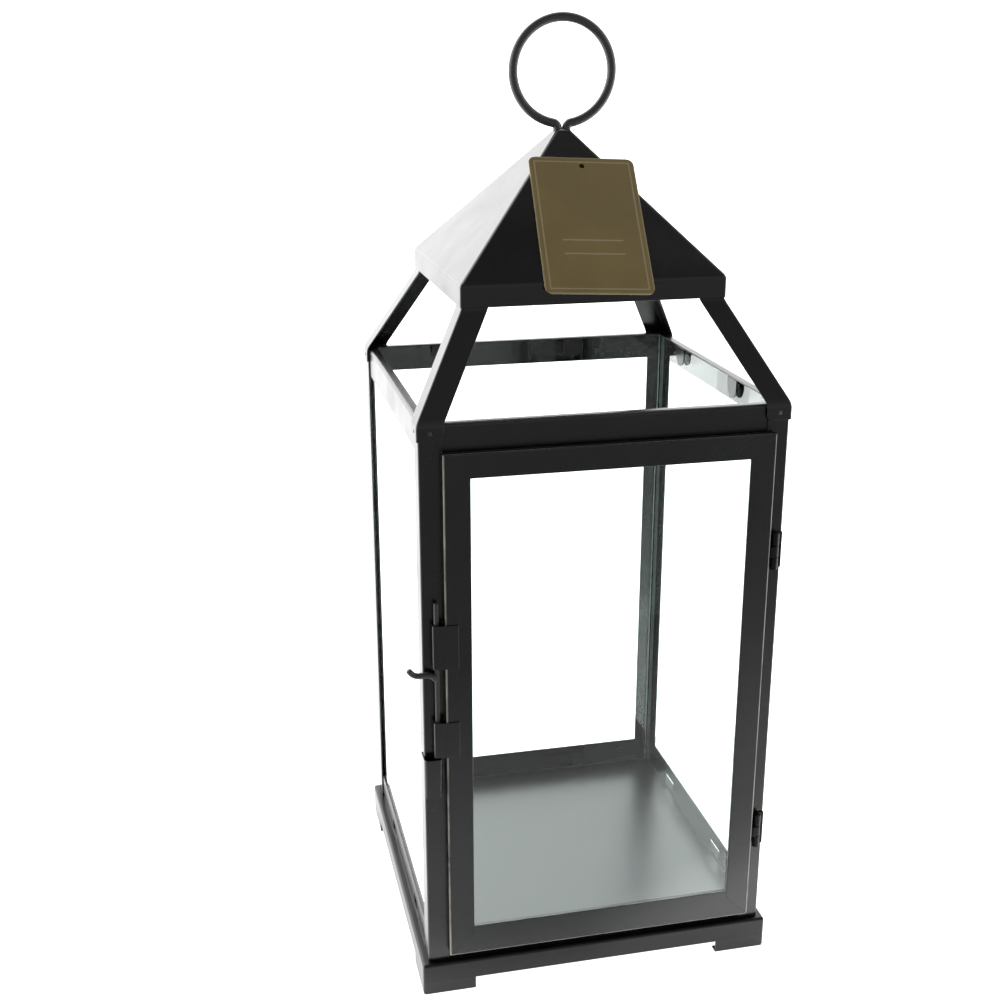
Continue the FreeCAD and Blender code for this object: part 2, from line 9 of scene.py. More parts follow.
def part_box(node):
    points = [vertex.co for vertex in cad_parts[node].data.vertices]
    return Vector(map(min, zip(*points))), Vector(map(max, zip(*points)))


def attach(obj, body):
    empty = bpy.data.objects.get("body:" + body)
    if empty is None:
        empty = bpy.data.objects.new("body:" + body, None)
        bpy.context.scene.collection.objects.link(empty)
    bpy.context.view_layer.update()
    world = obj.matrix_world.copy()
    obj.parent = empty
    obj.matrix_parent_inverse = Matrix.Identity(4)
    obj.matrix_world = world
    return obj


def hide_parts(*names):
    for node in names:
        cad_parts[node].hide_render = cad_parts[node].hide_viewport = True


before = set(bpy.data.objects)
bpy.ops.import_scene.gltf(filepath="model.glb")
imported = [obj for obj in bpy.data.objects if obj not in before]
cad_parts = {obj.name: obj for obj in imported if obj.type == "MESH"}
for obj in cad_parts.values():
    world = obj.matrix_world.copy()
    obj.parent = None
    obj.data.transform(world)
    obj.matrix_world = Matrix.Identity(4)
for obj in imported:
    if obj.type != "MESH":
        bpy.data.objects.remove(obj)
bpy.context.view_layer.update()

bl_info = {
    "name": "Candle lantern",
    "version": (1, 0, 0),
    "blender": (4, 5, 0),
    "location": "3D View > Sidebar > Lantern",
    "description": "Builds the finished pieces of a sheet-metal candle lantern around its frame",
    "category": "Add Mesh",
}

MM = 0.001
BODY = "lantern_body"
DOOR = "door"
LATCH = "latch"
UP = Vector((0, 0, 1))
CORNER_TURNS = {"front_left": 0, "front_right": 90, "back_right": 180, "back_left": 270}
SIDE_TURNS = {"front": 0, "right": 90, "back": 180, "left": 270}


def low(node):
    """A node's lowest corner."""
    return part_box(node)[0]


def high(node):
    """A node's highest corner."""
    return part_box(node)[1]


# ---------------------------------------------------------------- sizes read from the frame

HALF_BASE = high("base_tray").x
BASE_TOP = high("base_tray").z
HALF_BODY = -low("corner_post_front_left").x
POST_LEG = high("corner_post_front_left").x + HALF_BODY
SHEET = high("bottom_rail_back").y - low("bottom_rail_back").y
KNEE = high("top_rail_front").z
RAIL_BOTTOM = low("top_rail_front").z
RAIL_FLANGE = high("top_rail_front").y - low("top_rail_front").y
SILL_TOP = high("bottom_rail_back").z
COLLAR_BOTTOM = low("roof_strut_front_left").z
STRUT_TOP = high("roof_strut_front_left").z
HALF_ROOF = high("roof_cap").x
EAVE = low("roof_cap").z
CROWN = high("roof_cap").z
RING_LOW, RING_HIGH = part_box("hanging_ring")
DOOR_LOW = low("door_stile_left")
DOOR_HIGH = high("door_stile_right")
STILE_FACE = high("door_stile_left").x - DOOR_LOW.x
TOP_FACE = DOOR_HIGH.z - low("door_rail_top").z
BOTTOM_FACE = high("door_rail_bottom").z - DOOR_LOW.z
PIN_LOW, PIN_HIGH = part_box("hinge_pin_lower")
HINGE = (PIN_LOW + PIN_HIGH) / 2

# ---------------------------------------------------------------- sizes that the boxes don't give

FOOT_WIDTH = 26.5 * MM
FOOT_GAP = 6.6 * MM
FOOT_RETURN = 4.8 * MM
TONGUE_REACH = 1.6 * MM
TONGUE_DROP = 10.9 * MM
TONGUE_HALF = 5.7 * MM
FIRST_TONGUE = -30.0 * MM
TONGUE_PITCH = 75.0 * MM
SLOT_MIDDLES = (-30.0 * MM, 45.0 * MM)
SLOT_HALF = 7.0 * MM
SLOT_LOW = 1.5 * MM
SLOT_HIGH = 7.5 * MM
RIVET_RADIUS = 1.0 * MM
RIVET_RISE = 0.25 * MM
RIVET_INSET = 6.15 * MM
SKIRT = 10.0 * MM
CROWN_POINT = 413.7 * MM
CROWN_RAISE = 2.0 * MM
RING_BEND = 2.6 * MM
TAIL_PLAY = 0.05 * MM
GRIP_LEVEL = 174.3 * MM
GRIP_SHARE = 1.25
TAG_TILT = 3.3
TAG_SHIFT = 5.0 * MM
TAG_DROP = 22.3 * MM
TAG_WIDE = 50.8 * MM
TAG_LONG = 76.2 * MM
TAG_SHEET = 0.8 * MM
TAG_LIFT = 0.02 * MM
TAG_CORNER = 3.5 * MM
TAG_HOLE = 1.3 * MM

# ---------------------------------------------------------------- settings

class LanternSheetSettings(bpy.types.PropertyGroup):
    """Sizes of the folds, edges and wires."""

    fold: FloatProperty(name="Fold", description="Outside radius of an ordinary fold",
                        default=1.0 * MM, min=0.2 * MM, unit="LENGTH")
    rail_fold: FloatProperty(name="Rail fold", description="Outside radius along a top rail",
                             default=1.6 * MM, min=0.2 * MM, unit="LENGTH")
    tray_fold: FloatProperty(name="Tray fold", description="Outside radius of the tray's edges",
                             default=1.4 * MM, min=0.2 * MM, unit="LENGTH")
    hip_fold: FloatProperty(name="Hip fold", description="Width of the roof's rounded hips",
                            default=1.1 * MM, min=0.2 * MM, unit="LENGTH")
    strap: FloatProperty(name="Strap", description="Thickness of the latch's thin strap",
                         default=0.6 * MM, min=0.2 * MM, unit="LENGTH")
    edge: FloatProperty(name="Cut edge", description="Rounding of a cut edge",
                        default=0.14 * MM, min=0.02 * MM, unit="LENGTH")
    steps: IntProperty(name="Steps", description="Straight pieces in a quarter of a fold",
                       default=5, min=2, max=12)


class LanternFinishSettings(bpy.types.PropertyGroup):
    """Colours and gloss of the materials."""

    paint: FloatVectorProperty(name="Paint", description="Colour of the black paint",
                               subtype="COLOR", size=3, default=(0.003, 0.003, 0.0031))
    dust: FloatVectorProperty(name="Dust", description="Colour of the thin grey haze on the paint",
                              subtype="COLOR", size=3, default=(0.05, 0.052, 0.052))
    wire: FloatVectorProperty(name="Wire", description="Colour of the painted wire",
                              subtype="COLOR", size=3, default=(0.03, 0.0295, 0.028))
    bare: FloatVectorProperty(name="Bare metal", description="Colour where the paint is rubbed thin",
                              subtype="COLOR", size=3, default=(0.12, 0.118, 0.11))
    glass: FloatVectorProperty(name="Glass", description="Tint of the glass",
                               subtype="COLOR", size=3, default=(0.962, 0.99, 0.983))
    glass_edge: FloatVectorProperty(name="Glass edge", description="Colour of the cut edge of the glass",
                                    subtype="COLOR", size=3, default=(0.42, 0.5, 0.46))
    card: FloatVectorProperty(name="Card", description="Colour of the tag",
                              subtype="COLOR", size=3, default=(0.19, 0.136, 0.036))
    card_line: FloatVectorProperty(name="Card line", description="Colour of the tag's printed lines",
                                   subtype="COLOR", size=3, default=(0.36, 0.30, 0.17))
    # Painted highlight: a pale colour laid along the door's folds in place of the shine that the folds
    # catch.
    fold_highlight: FloatVectorProperty(name="Fold line", description="Metal showing along the door's folds",
                                   subtype="COLOR", size=3, default=(0.4, 0.37, 0.31))
    gloss: FloatProperty(name="Roughness", description="Middle roughness of the black paint",
                         subtype="FACTOR", default=0.24, min=0.0, max=1.0)


class LanternStageSettings(bpy.types.PropertyGroup):
    """The floor, the light and the camera."""

    floor: FloatVectorProperty(name="Floor", description="Colour of the floor",
                               subtype="COLOR", size=3, default=(0.86, 0.86, 0.86))
    sky: FloatProperty(name="Surround", description="Brightness of the white surround",
                       default=3.0, min=0.0)
    right_share: FloatProperty(name="Right share", description="Brightness of the right against the left",
                               subtype="FACTOR", default=0.62, min=0.0, max=1.0)
    front: FloatProperty(name="Front part", description="Faint light behind the camera",
                         default=0.3, min=0.0)
    dark: FloatProperty(name="Dark part", description="Brightness overhead",
                        default=0.05, min=0.0)
    glow: FloatProperty(name="Floor glow", description="Brightness of the lit floor at the lantern",
                        default=1.2, min=0.0)
    lens: FloatProperty(name="Lens", description="Focal length for a 36 mm wide picture",
                        default=49.14, min=10.0)
    pan: FloatProperty(name="Pan", description="Camera heading, clockwise from straight ahead",
                       subtype="ANGLE", default=math.radians(12.69))
    tilt: FloatProperty(name="Tilt", description="Camera angle below level",
                        subtype="ANGLE", default=math.radians(18.34))
    roll: FloatProperty(name="Roll", description="Camera turn about its own line of sight",
                        subtype="ANGLE", default=math.radians(-0.1))
    place: FloatVectorProperty(name="Place", description="Where the camera stands",
                               subtype="TRANSLATION", size=3, default=(-0.17728, -0.65044, 0.4471))


def sheet_settings():
    return bpy.context.scene.lantern_sheet


def finish_settings():
    return bpy.context.scene.lantern_finish


def stage_settings():
    return bpy.context.scene.lantern_stage


# ---------------------------------------------------------------- material nodes

class Nodes:
    """A short way to add and join shader nodes."""

    def __init__(self, material):
        material.use_nodes = True
        self.tree = material.node_tree
        self.tree.nodes.clear()

    def add(self, kind, **values):
        node = self.tree.nodes.new(kind)
        for name, value in values.items():
            setattr(node, name, value)
        return node

    def join(self, source, target):
        self.tree.links.new(source, target)

    def noise(self, place, scale, detail=3.0, rough=0.5):
        node = self.add("ShaderNodeTexNoise")
        node.inputs["Scale"].default_value = scale
        node.inputs["Detail"].default_value = detail
        node.inputs["Roughness"].default_value = rough
        self.join(place, node.inputs["Vector"])
        return node.outputs["Fac"]

    def span(self, value, low_in, high_in, low_out, high_out):
        node = self.add("ShaderNodeMapRange", clamp=True)
        for name, number in (("From Min", low_in), ("From Max", high_in),
                             ("To Min", low_out), ("To Max", high_out)):
            node.inputs[name].default_value = number
        self.join(value, node.inputs["Value"])
        return node.outputs["Result"]

    def math(self, kind, first, second):
        node = self.add("ShaderNodeMath", operation=kind)
        for socket, value in zip(node.inputs, (first, second)):
            if isinstance(value, (int, float)):
                socket.default_value = value
            else:
                self.join(value, socket)
        return node.outputs[0]

    def mix(self, factor, first, second):
        node = self.add("ShaderNodeMix", data_type="RGBA")
        colours = [socket for socket in node.inputs if socket.type == "RGBA"]
        self.join(factor, node.inputs["Factor"])
        for socket, value in zip(colours, (first, second)):
            if isinstance(value, tuple):
                socket.default_value = value
            else:
                self.join(value, socket)
        return [socket for socket in node.outputs if socket.type == "RGBA"][0]

    def close(self, shader):
        output = self.add("ShaderNodeOutputMaterial")
        self.join(shader.outputs[0], output.inputs["Surface"])

    def bump(self, height, strength, distance, under=None):
        node = self.add("ShaderNodeBump")
        node.inputs["Strength"].default_value = strength
        node.inputs["Distance"].default_value = distance
        self.join(height, node.inputs["Height"])
        if under is not None:
            self.join(under, node.inputs["Normal"])
        return node.outputs["Normal"]


def rgba(colour):
    """Four numbers from a three-number colour."""
    return (colour[0], colour[1], colour[2], 1.0)


def inner_floor_index(nodes, place, wall_index, floor_index):
    """A refractive index that rises on level faces inside the walls: the tray's glossier top."""
    facing = nodes.add("ShaderNodeSeparateXYZ")
    nodes.join(nodes.add("ShaderNodeTexCoord").outputs["Normal"], facing.inputs["Vector"])
    where = nodes.add("ShaderNodeSeparateXYZ")
    nodes.join(place, where.inputs["Vector"])
    across = nodes.math("MAXIMUM", nodes.math("ABSOLUTE", where.outputs["X"], 0.0),
                        nodes.math("ABSOLUTE", where.outputs["Y"], 0.0))
    inner = nodes.span(across, HALF_BODY - 1.0 * MM, HALF_BODY, 1.0, 0.0)
    level = nodes.span(facing.outputs["Z"], 0.7, 0.97, 0.0, 1.0)
    extra = nodes.math("MULTIPLY", nodes.math("MULTIPLY", inner, level), floor_index - wall_index)
    return nodes.math("ADD", extra, wall_index)


def paint_material(name, colour, rough, wear_and_highlight_share=0.25, index=1.68, metal=None, grain=1.0,
                   floor_index=None):
    """Satin black paint: orange peel, faint haze, and folds rubbed a little thin; given the door's pale
    fold colour, the rubbed folds are a painted highlight instead.
    """
    material = bpy.data.materials.new(name)
    settings = finish_settings()
    # metal: for the door, the pale colour of the painted fold highlight; otherwise the folds take the bare
    # metal colour of real wear.
    bare = rgba(metal or settings.bare)
    nodes = Nodes(material)
    place = nodes.add("ShaderNodeTexCoord").outputs["Object"]
    wear_and_highlight = nodes.add("ShaderNodeAttribute", attribute_name="wear_and_highlight").outputs["Fac"]
    haze = nodes.span(nodes.noise(place, 9.0, 4.0, 0.6), 0.35, 0.75, 0.0, 0.06)
    specks = nodes.span(nodes.noise(place, 420.0, 2.0), 0.72, 0.78, 0.0, 0.15)
    # Fold mask from the mesh: real rubbed paint on most pieces, a painted highlight along the door's folds.
    rubbed = nodes.math("MULTIPLY", wear_and_highlight, nodes.span(nodes.noise(place, 45.0, 4.0, 0.6),
                                                     0.3, 0.75, 0.05, wear_and_highlight_share))
    body = nodes.mix(haze, rgba(colour), rgba(settings.dust))
    dusty = nodes.mix(nodes.math("MULTIPLY", haze, specks), body, bare)
    worn_and_highlit = nodes.mix(rubbed, dusty, bare)
    soft = nodes.span(nodes.noise(place, 34.0, 4.0, 0.55), 0.3, 0.7,
                      rough - 0.03 * grain, rough + 0.04 * grain)
    rougher = nodes.math("ADD", soft, nodes.math("MULTIPLY", rubbed, 0.25))
    peel = nodes.bump(nodes.noise(place, 620.0, 0.0), 0.1, 0.001 * grain * MM)
    sway = nodes.bump(nodes.noise(place, 9.0, 0.0), 0.1, 0.025 * grain * MM, peel)
    shader = nodes.add("ShaderNodeBsdfPrincipled")
    shader.inputs["IOR"].default_value = index
    if floor_index:
        nodes.join(inner_floor_index(nodes, place, index, floor_index), shader.inputs["IOR"])
    nodes.join(worn_and_highlit, shader.inputs["Base Color"])
    nodes.join(rougher, shader.inputs["Roughness"])
    nodes.join(sway, shader.inputs["Normal"])
    nodes.close(shader)
    return material


def glass_material():
    """Clear thin glass: a faint tint, a clean reflection and a few smudges."""
    material = bpy.data.materials.new("clear_pane")
    settings = finish_settings()
    nodes = Nodes(material)
    place = nodes.add("ShaderNodeTexCoord").outputs["Object"]
    smudge = nodes.span(nodes.noise(place, 22.0, 5.0, 0.6), 0.58, 0.8, 0.0, 1.0)
    clear = nodes.add("ShaderNodeBsdfTransparent")
    clear.inputs["Color"].default_value = rgba(settings.glass)
    shine = nodes.add("ShaderNodeBsdfGlossy")
    shine.inputs["Color"].default_value = (1.0, 1.0, 1.0, 1.0)
    nodes.join(nodes.span(smudge, 0.0, 1.0, 0.01, 0.03), shine.inputs["Roughness"])
    fresnel = nodes.add("ShaderNodeFresnel")
    fresnel.inputs["IOR"].default_value = 1.5
    inside = nodes.add("ShaderNodeNewGeometry").outputs["Backfacing"]
    outer_only = nodes.math("MULTIPLY", fresnel.outputs["Fac"], nodes.math("SUBTRACT", 1.8, nodes.math(
        "MULTIPLY", inside, 1.8)))
    mixer = nodes.add("ShaderNodeMixShader")
    nodes.join(nodes.math("MINIMUM", outer_only, 1.0), mixer.inputs[0])
    nodes.join(clear.outputs["BSDF"], mixer.inputs[1])
    nodes.join(shine.outputs["BSDF"], mixer.inputs[2])
    nodes.close(mixer)
    return material


def glass_edge_material():
    """The ground, green cut edge of a pane."""
    material = bpy.data.materials.new("pane_edge")
    settings = finish_settings()
    nodes = Nodes(material)
    place = nodes.add("ShaderNodeTexCoord").outputs["Object"]
    deep = (settings.glass_edge[0] * 0.5, settings.glass_edge[1] * 0.6, settings.glass_edge[2] * 0.5, 1)
    colour = nodes.mix(nodes.noise(place, 60.0, 3.0), deep, rgba(settings.glass_edge))
    shader = nodes.add("ShaderNodeBsdfPrincipled")
    nodes.join(colour, shader.inputs["Base Color"])
    nodes.join(nodes.span(nodes.noise(place, 300.0), 0.3, 0.7, 0.2, 0.4), shader.inputs["Roughness"])
    nodes.join(nodes.bump(nodes.noise(place, 900.0), 0.2, 0.05 * MM), shader.inputs["Normal"])
    nodes.close(shader)
    return material


def card_material(outline, rules):
    """Bronze-brown card with a plain line near its edge and two plain rules."""
    material = bpy.data.materials.new("bronze_card")
    settings = finish_settings()
    nodes = Nodes(material)
    flat = nodes.add("ShaderNodeUVMap", uv_map="card").outputs["UV"]
    split = nodes.add("ShaderNodeSeparateXYZ")
    nodes.join(flat, split.inputs["Vector"])
    across = nodes.math("ABSOLUTE", split.outputs["X"], 0.0)
    along = nodes.math("ABSOLUTE", split.outputs["Y"], 0.0)
    grain = nodes.noise(flat, 900.0, 3.0)
    cloud = nodes.noise(flat, 28.0, 3.0)
    base = tuple(settings.card)
    dark = (base[0] * 0.78, base[1] * 0.78, base[2] * 0.8, 1.0)
    light = (base[0] * 1.18, base[1] * 1.16, base[2] * 1.12, 1.0)
    body = nodes.mix(nodes.span(cloud, 0.3, 0.7, 0.25, 0.85), dark, light)
    half_wide, half_long, line = outline
    from_side = nodes.math("SUBTRACT", half_wide, across)
    from_end = nodes.math("SUBTRACT", half_long, along)
    edge = nodes.math("MINIMUM", from_side, from_end)
    band = nodes.math("ABSOLUTE", nodes.math("SUBTRACT", edge, 2.6 * MM), 0.0)
    ink = nodes.span(band, line * 0.5, line * 0.8, 1.0, 0.0)
    for middle, half_rule in rules:
        off = nodes.math("ABSOLUTE", nodes.math("SUBTRACT", split.outputs["Y"], middle), 0.0)
        rule = nodes.math("MULTIPLY", nodes.span(off, line * 0.6, line * 0.9, 1.0, 0.0),
                          nodes.span(across, half_rule, half_rule + line, 1.0, 0.0))
        ink = nodes.math("MAXIMUM", ink, rule)
    worn_ink = nodes.math("MULTIPLY", ink, nodes.span(grain, 0.3, 0.5, 0.45, 0.9))
    printed = nodes.mix(worn_ink, body, rgba(settings.card_line))
    rim = nodes.span(edge, 0.25 * MM, 0.7 * MM, 0.75, 0.0)
    finished = nodes.mix(rim, printed, rgba(settings.card_line))
    shader = nodes.add("ShaderNodeBsdfPrincipled")
    shader.inputs["Sheen Weight"].default_value = 0.08
    nodes.join(finished, shader.inputs["Base Color"])
    nodes.join(nodes.span(grain, 0.3, 0.7, 0.42, 0.58), shader.inputs["Roughness"])
    nodes.join(nodes.bump(grain, 0.25, 0.06 * MM), shader.inputs["Normal"])
    nodes.close(shader)
    return material


def material(name):
    """The shared material of that name, made the first time that it is wanted."""
    found = bpy.data.materials.get(name)
    if found:
        return found
    settings = finish_settings()
    if name == "black_paint":
        return paint_material(name, settings.paint, settings.gloss)
    if name == "floor_paint":
        return paint_material(name, settings.paint, settings.gloss + 0.06, 0.12, 1.45, grain=0.0,
                              floor_index=2.3)
    # The door's paint: its folds carry a painted highlight in the pale fold colour.
    if name == "door_paint_with_fold_highlight":
        return paint_material(name, settings.paint, settings.gloss, 1.4, metal=settings.fold_highlight)
    if name == "hinge_paint":
        return paint_material(name, settings.paint, settings.gloss + 0.1, 0.05, 1.3)
    if name == "wire_paint":
        return paint_material(name, settings.wire, settings.gloss + 0.12)
    if name == "clear_pane":
        return glass_material()
    return glass_edge_material()


# ---------------------------------------------------------------- mesh helpers

def turned(point, degrees):
    """A point turned about the lantern's upright axis."""
    return Matrix.Rotation(math.radians(degrees), 3, "Z") @ point


def rounded(corners, radius, steps):
    """A line with its corners rounded: places, directions, and how bent it is at each."""
    line = []
    count = len(corners)
    for index, corner in enumerate(corners):
        here = Vector(corner)
        if index in (0, count - 1):
            other = Vector(corners[1 if index == 0 else count - 2])
            way = (other - here) if index == 0 else (here - other)
            line.append((here, way.normalized(), 0.0))
            continue
        before = (here - Vector(corners[index - 1])).normalized()
        after = (Vector(corners[index + 1]) - here).normalized()
        turn = before.angle_signed(after)
        if abs(turn) < 1e-4:
            line.append((here, before, 0.0))
            continue
        back = radius * math.tan(abs(turn) / 2)
        start = here - before * back
        side = Vector((-before.y, before.x)) if turn < 0 else Vector((before.y, -before.x))
        middle = start + side * radius
        pieces = max(2, round(steps * abs(turn) / (math.pi / 2)))
        for piece in range(pieces + 1):
            part = piece / pieces
            spin = Matrix.Rotation(-turn * part, 2)
            arm = spin @ (start - middle)
            line.append((middle + arm, spin @ before, math.sin(math.pi * part)))
    return line


def strip(line, wall):
    """The closed outline of a sheet of a given thickness along a rounded line."""
    bevel = wall * 0.22
    left, right = [], []
    last = len(line) - 1
    for index, (place, way, bent) in enumerate(line):
        side = Vector((-way.y, way.x)) * wall / 2
        if index in (0, last):
            sign = 1 if index == 0 else -1
            inset = way * bevel * sign
            shallow = side * (1 - 2 * bevel / wall)
            ends = [(place + inset, side, 0.0), (place, shallow, 0.8)]
            if index == 0:
                ends.reverse()
            for spot, offset, amount in ends:
                left.append((spot + offset, amount))
                right.append((spot - offset, amount))
            continue
        left.append((place + side, bent))
        right.append((place - side, bent))
    return left + right[::-1]


def skin(stations):
    """A mesh through matching outlines, each a list of (point, wear), closed across the sheet."""
    mesh = bmesh.new()
    wear_and_highlight = mesh.verts.layers.float.new("wear_and_highlight")
    rows = []
    for station in stations:
        row = []
        for point, amount in station:
            vertex = mesh.verts.new(point)
            vertex[wear_and_highlight] = amount
            row.append(vertex)
        rows.append(row)
    count = len(rows[0])
    for first, second in zip(rows, rows[1:]):
        for index in range(count):
            following = (index + 1) % count
            mesh.faces.new((first[index], first[following], second[following], second[index]))
    for row in (rows[0], rows[-1]):
        for index in range(count // 2 - 1):
            opposite = count - 1 - index
            mesh.faces.new((row[index], row[index + 1], row[opposite - 1], row[opposite]))
    bmesh.ops.recalc_face_normals(mesh, faces=mesh.faces)
    return mesh


def to_object(name, mesh):
    """A new object from a finished bmesh."""
    data = bpy.data.meshes.new(name)
    mesh.to_mesh(data)
    mesh.free()
    made = bpy.data.objects.new(name, data)
    bpy.context.scene.collection.objects.link(made)
    return made


def plain_mesh(made):
    """The mesh that an object's modifiers give."""
    graph = bpy.context.evaluated_depsgraph_get()
    graph.update()
    return bpy.data.meshes.new_from_object(made.evaluated_get(graph), preserve_all_data_layers=True,
                                           depsgraph=graph)


def baked(made):
    """Turn a mesh object with modifiers into a plain one."""
    data = plain_mesh(made)
    made.modifiers.clear()
    made.data = data
    return made


def soften(made, width, segments=2, angle=50.0):
    """Round the sharp edges a little."""
    bevel = made.modifiers.new("edges", "BEVEL")
    bevel.width = width
    bevel.segments = segments
    bevel.limit_method = "ANGLE"
    bevel.angle_limit = math.radians(angle)
    bevel.harden_normals = False
    return made


def joined(name, parts):
    """One object from several plain meshes."""
    whole = bmesh.new()
    whole.verts.layers.float.new("wear_and_highlight")
    for part in parts:
        whole.from_mesh(part.data)
        bpy.data.objects.remove(part)
    return to_object(name, whole)


def finished(made, body, slot, paint, nodes=()):
    """Give a piece its material and its body, and hide the nodes that it stands for."""
    baked(made)
    if paint:
        made.data.materials.clear()
        made.data.materials.append(material(paint))
    made.data.polygons.foreach_set("use_smooth", [True] * len(made.data.polygons))
    made.data.set_sharp_from_angle(angle=math.radians(40))
    even = made.modifiers.new("even", "WEIGHTED_NORMAL")
    even.keep_sharp = True
    even.weight = 80
    baked(made)
    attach(made, body)
    if nodes:
        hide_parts(*nodes)
    return made


def swept(name, outlines):
    """A folded piece from its outlines, with rounded cut ends."""
    made = to_object(name, skin(outlines))
    return soften(made, sheet_settings().edge)


# ---------------------------------------------------------------- geometry node trees

def new_tree(name, inputs):
    """An empty geometry tree with named inputs; gives the tree and its two end nodes."""
    tree = bpy.data.node_groups.new(name, "GeometryNodeTree")
    tree.interface.new_socket(name="Geometry", in_out="INPUT", socket_type="NodeSocketGeometry")
    for label, kind, value in inputs:
        socket = tree.interface.new_socket(name=label, in_out="INPUT", socket_type=kind)
        if value is not None:
            socket.default_value = value
    tree.interface.new_socket(name="Geometry", in_out="OUTPUT", socket_type="NodeSocketGeometry")
    return tree, tree.nodes.new("NodeGroupInput"), tree.nodes.new("NodeGroupOutput")


def close_tree(tree, source, start, end):
    """End a tree in Realize Instances and Set Material."""
    realize = tree.nodes.new("GeometryNodeRealizeInstances")
    paint = tree.nodes.new("GeometryNodeSetMaterial")
    tree.links.new(source, realize.inputs["Geometry"])
    tree.links.new(realize.outputs["Geometry"], paint.inputs["Geometry"])
    tree.links.new(start.outputs["Material"], paint.inputs["Material"])
    tree.links.new(paint.outputs["Geometry"], end.inputs["Geometry"])


def wire_tree():
    """Round wire along a curve, thinner where the curve's own radius is."""
    tree, start, end = new_tree("wire_along_curve", [
        ("Wire radius", "NodeSocketFloat", 2.0 * MM),
        ("Sides", "NodeSocketInt", 20),
        ("Material", "NodeSocketMaterial", None)])
    ring = tree.nodes.new("GeometryNodeCurvePrimitiveCircle")
    tree.links.new(start.outputs["Wire radius"], ring.inputs["Radius"])
    tree.links.new(start.outputs["Sides"], ring.inputs["Resolution"])
    tube = tree.nodes.new("GeometryNodeCurveToMesh")
    tube.inputs["Fill Caps"].default_value = True
    tree.links.new(start.outputs["Geometry"], tube.inputs["Curve"])
    tree.links.new(ring.outputs["Curve"], tube.inputs["Profile Curve"])
    radius = tree.nodes.new("GeometryNodeInputRadius")
    if "Scale" in tube.inputs:
        tree.links.new(radius.outputs["Radius"], tube.inputs["Scale"])
    close_tree(tree, tube.outputs["Mesh"], start, end)
    return tree


def rows_tree():
    """Repeat a small piece in a row, and the row round the lantern's sides."""
    tree, start, end = new_tree("rows_round_sides", [
        ("In a row", "NodeSocketInt", 2),
        ("Row start", "NodeSocketVector", (0.0, 0.0, 0.0)),
        ("Row step", "NodeSocketVector", (0.0, 0.0, 0.0)),
        ("Sides", "NodeSocketInt", 4),
        ("First side", "NodeSocketFloat", 0.0),
        ("Material", "NodeSocketMaterial", None)])
    row = tree.nodes.new("GeometryNodeMeshLine")
    tree.links.new(start.outputs["In a row"], row.inputs["Count"])
    tree.links.new(start.outputs["Row start"], row.inputs["Start Location"])
    tree.links.new(start.outputs["Row step"], row.inputs["Offset"])
    along = tree.nodes.new("GeometryNodeInstanceOnPoints")
    tree.links.new(row.outputs["Mesh"], along.inputs["Points"])
    tree.links.new(start.outputs["Geometry"], along.inputs["Instance"])
    sides = tree.nodes.new("GeometryNodeMeshLine")
    sides.inputs["Offset"].default_value = (0.0, 0.0, 0.0)
    tree.links.new(start.outputs["Sides"], sides.inputs["Count"])
    index = tree.nodes.new("GeometryNodeInputIndex")
    quarter = tree.nodes.new("ShaderNodeMath")
    quarter.operation = "MULTIPLY_ADD"
    quarter.inputs[1].default_value = math.pi / 2
    tree.links.new(index.outputs["Index"], quarter.inputs[0])
    tree.links.new(start.outputs["First side"], quarter.inputs[2])
    spin = tree.nodes.new("ShaderNodeCombineXYZ")
    tree.links.new(quarter.outputs[0], spin.inputs["Z"])
    around = tree.nodes.new("GeometryNodeInstanceOnPoints")
    tree.links.new(sides.outputs["Mesh"], around.inputs["Points"])
    tree.links.new(along.outputs["Instances"], around.inputs["Instance"])
    tree.links.new(spin.outputs["Vector"], around.inputs["Rotation"])
    close_tree(tree, around.outputs["Instances"], start, end)
    return tree


def tree_named(name):
    """A geometry tree, built the first time that it is wanted."""
    found = bpy.data.node_groups.get(name)
    if found:
        return found
    return wire_tree() if name == "wire_along_curve" else rows_tree()


def grow(made, tree_name, **values):
    """Put a tree on an object, set its inputs, and make the result a plain mesh object."""
    tree = tree_named(tree_name)
    modifier = made.modifiers.new(tree_name, "NODES")
    modifier.node_group = tree
    sockets = {item.name: item.identifier for item in tree.interface.items_tree
               if item.item_type == "SOCKET" and item.in_out == "INPUT"}
    for label, value in values.items():
        modifier[sockets[label.replace("_", " ")]] = value
    if made.type == "MESH":
        return baked(made)
    data = plain_mesh(made)
    name = made.name
    bpy.data.objects.remove(made)
    solid = bpy.data.objects.new(name, data)
    solid.name = name
    bpy.context.scene.collection.objects.link(solid)
    return solid


def wire_curve(name, places, radii):
    """A straight-pieced curve through close places, with a radius share at each."""
    curve = bpy.data.curves.new(name, "CURVE")
    curve.dimensions = "3D"
    curve.twist_mode = "MINIMUM"
    spline = curve.splines.new("POLY")
    spline.points.add(len(places) - 1)
    for point, place, radius in zip(spline.points, places, radii):
        point.co = (*place, 1.0)
        point.radius = radius
    made = bpy.data.objects.new(name, curve)
    bpy.context.scene.collection.objects.link(made)
    return made


def arc_places(middle, radius, first, last, count):
    """Places on an arc in the upright plane through its middle, from one angle to another."""
    spots = []
    for step in range(count + 1):
        angle = first + (last - first) * step / count
        spots.append(middle + Vector((math.cos(angle), 0, math.sin(angle))) * radius)
    return spots


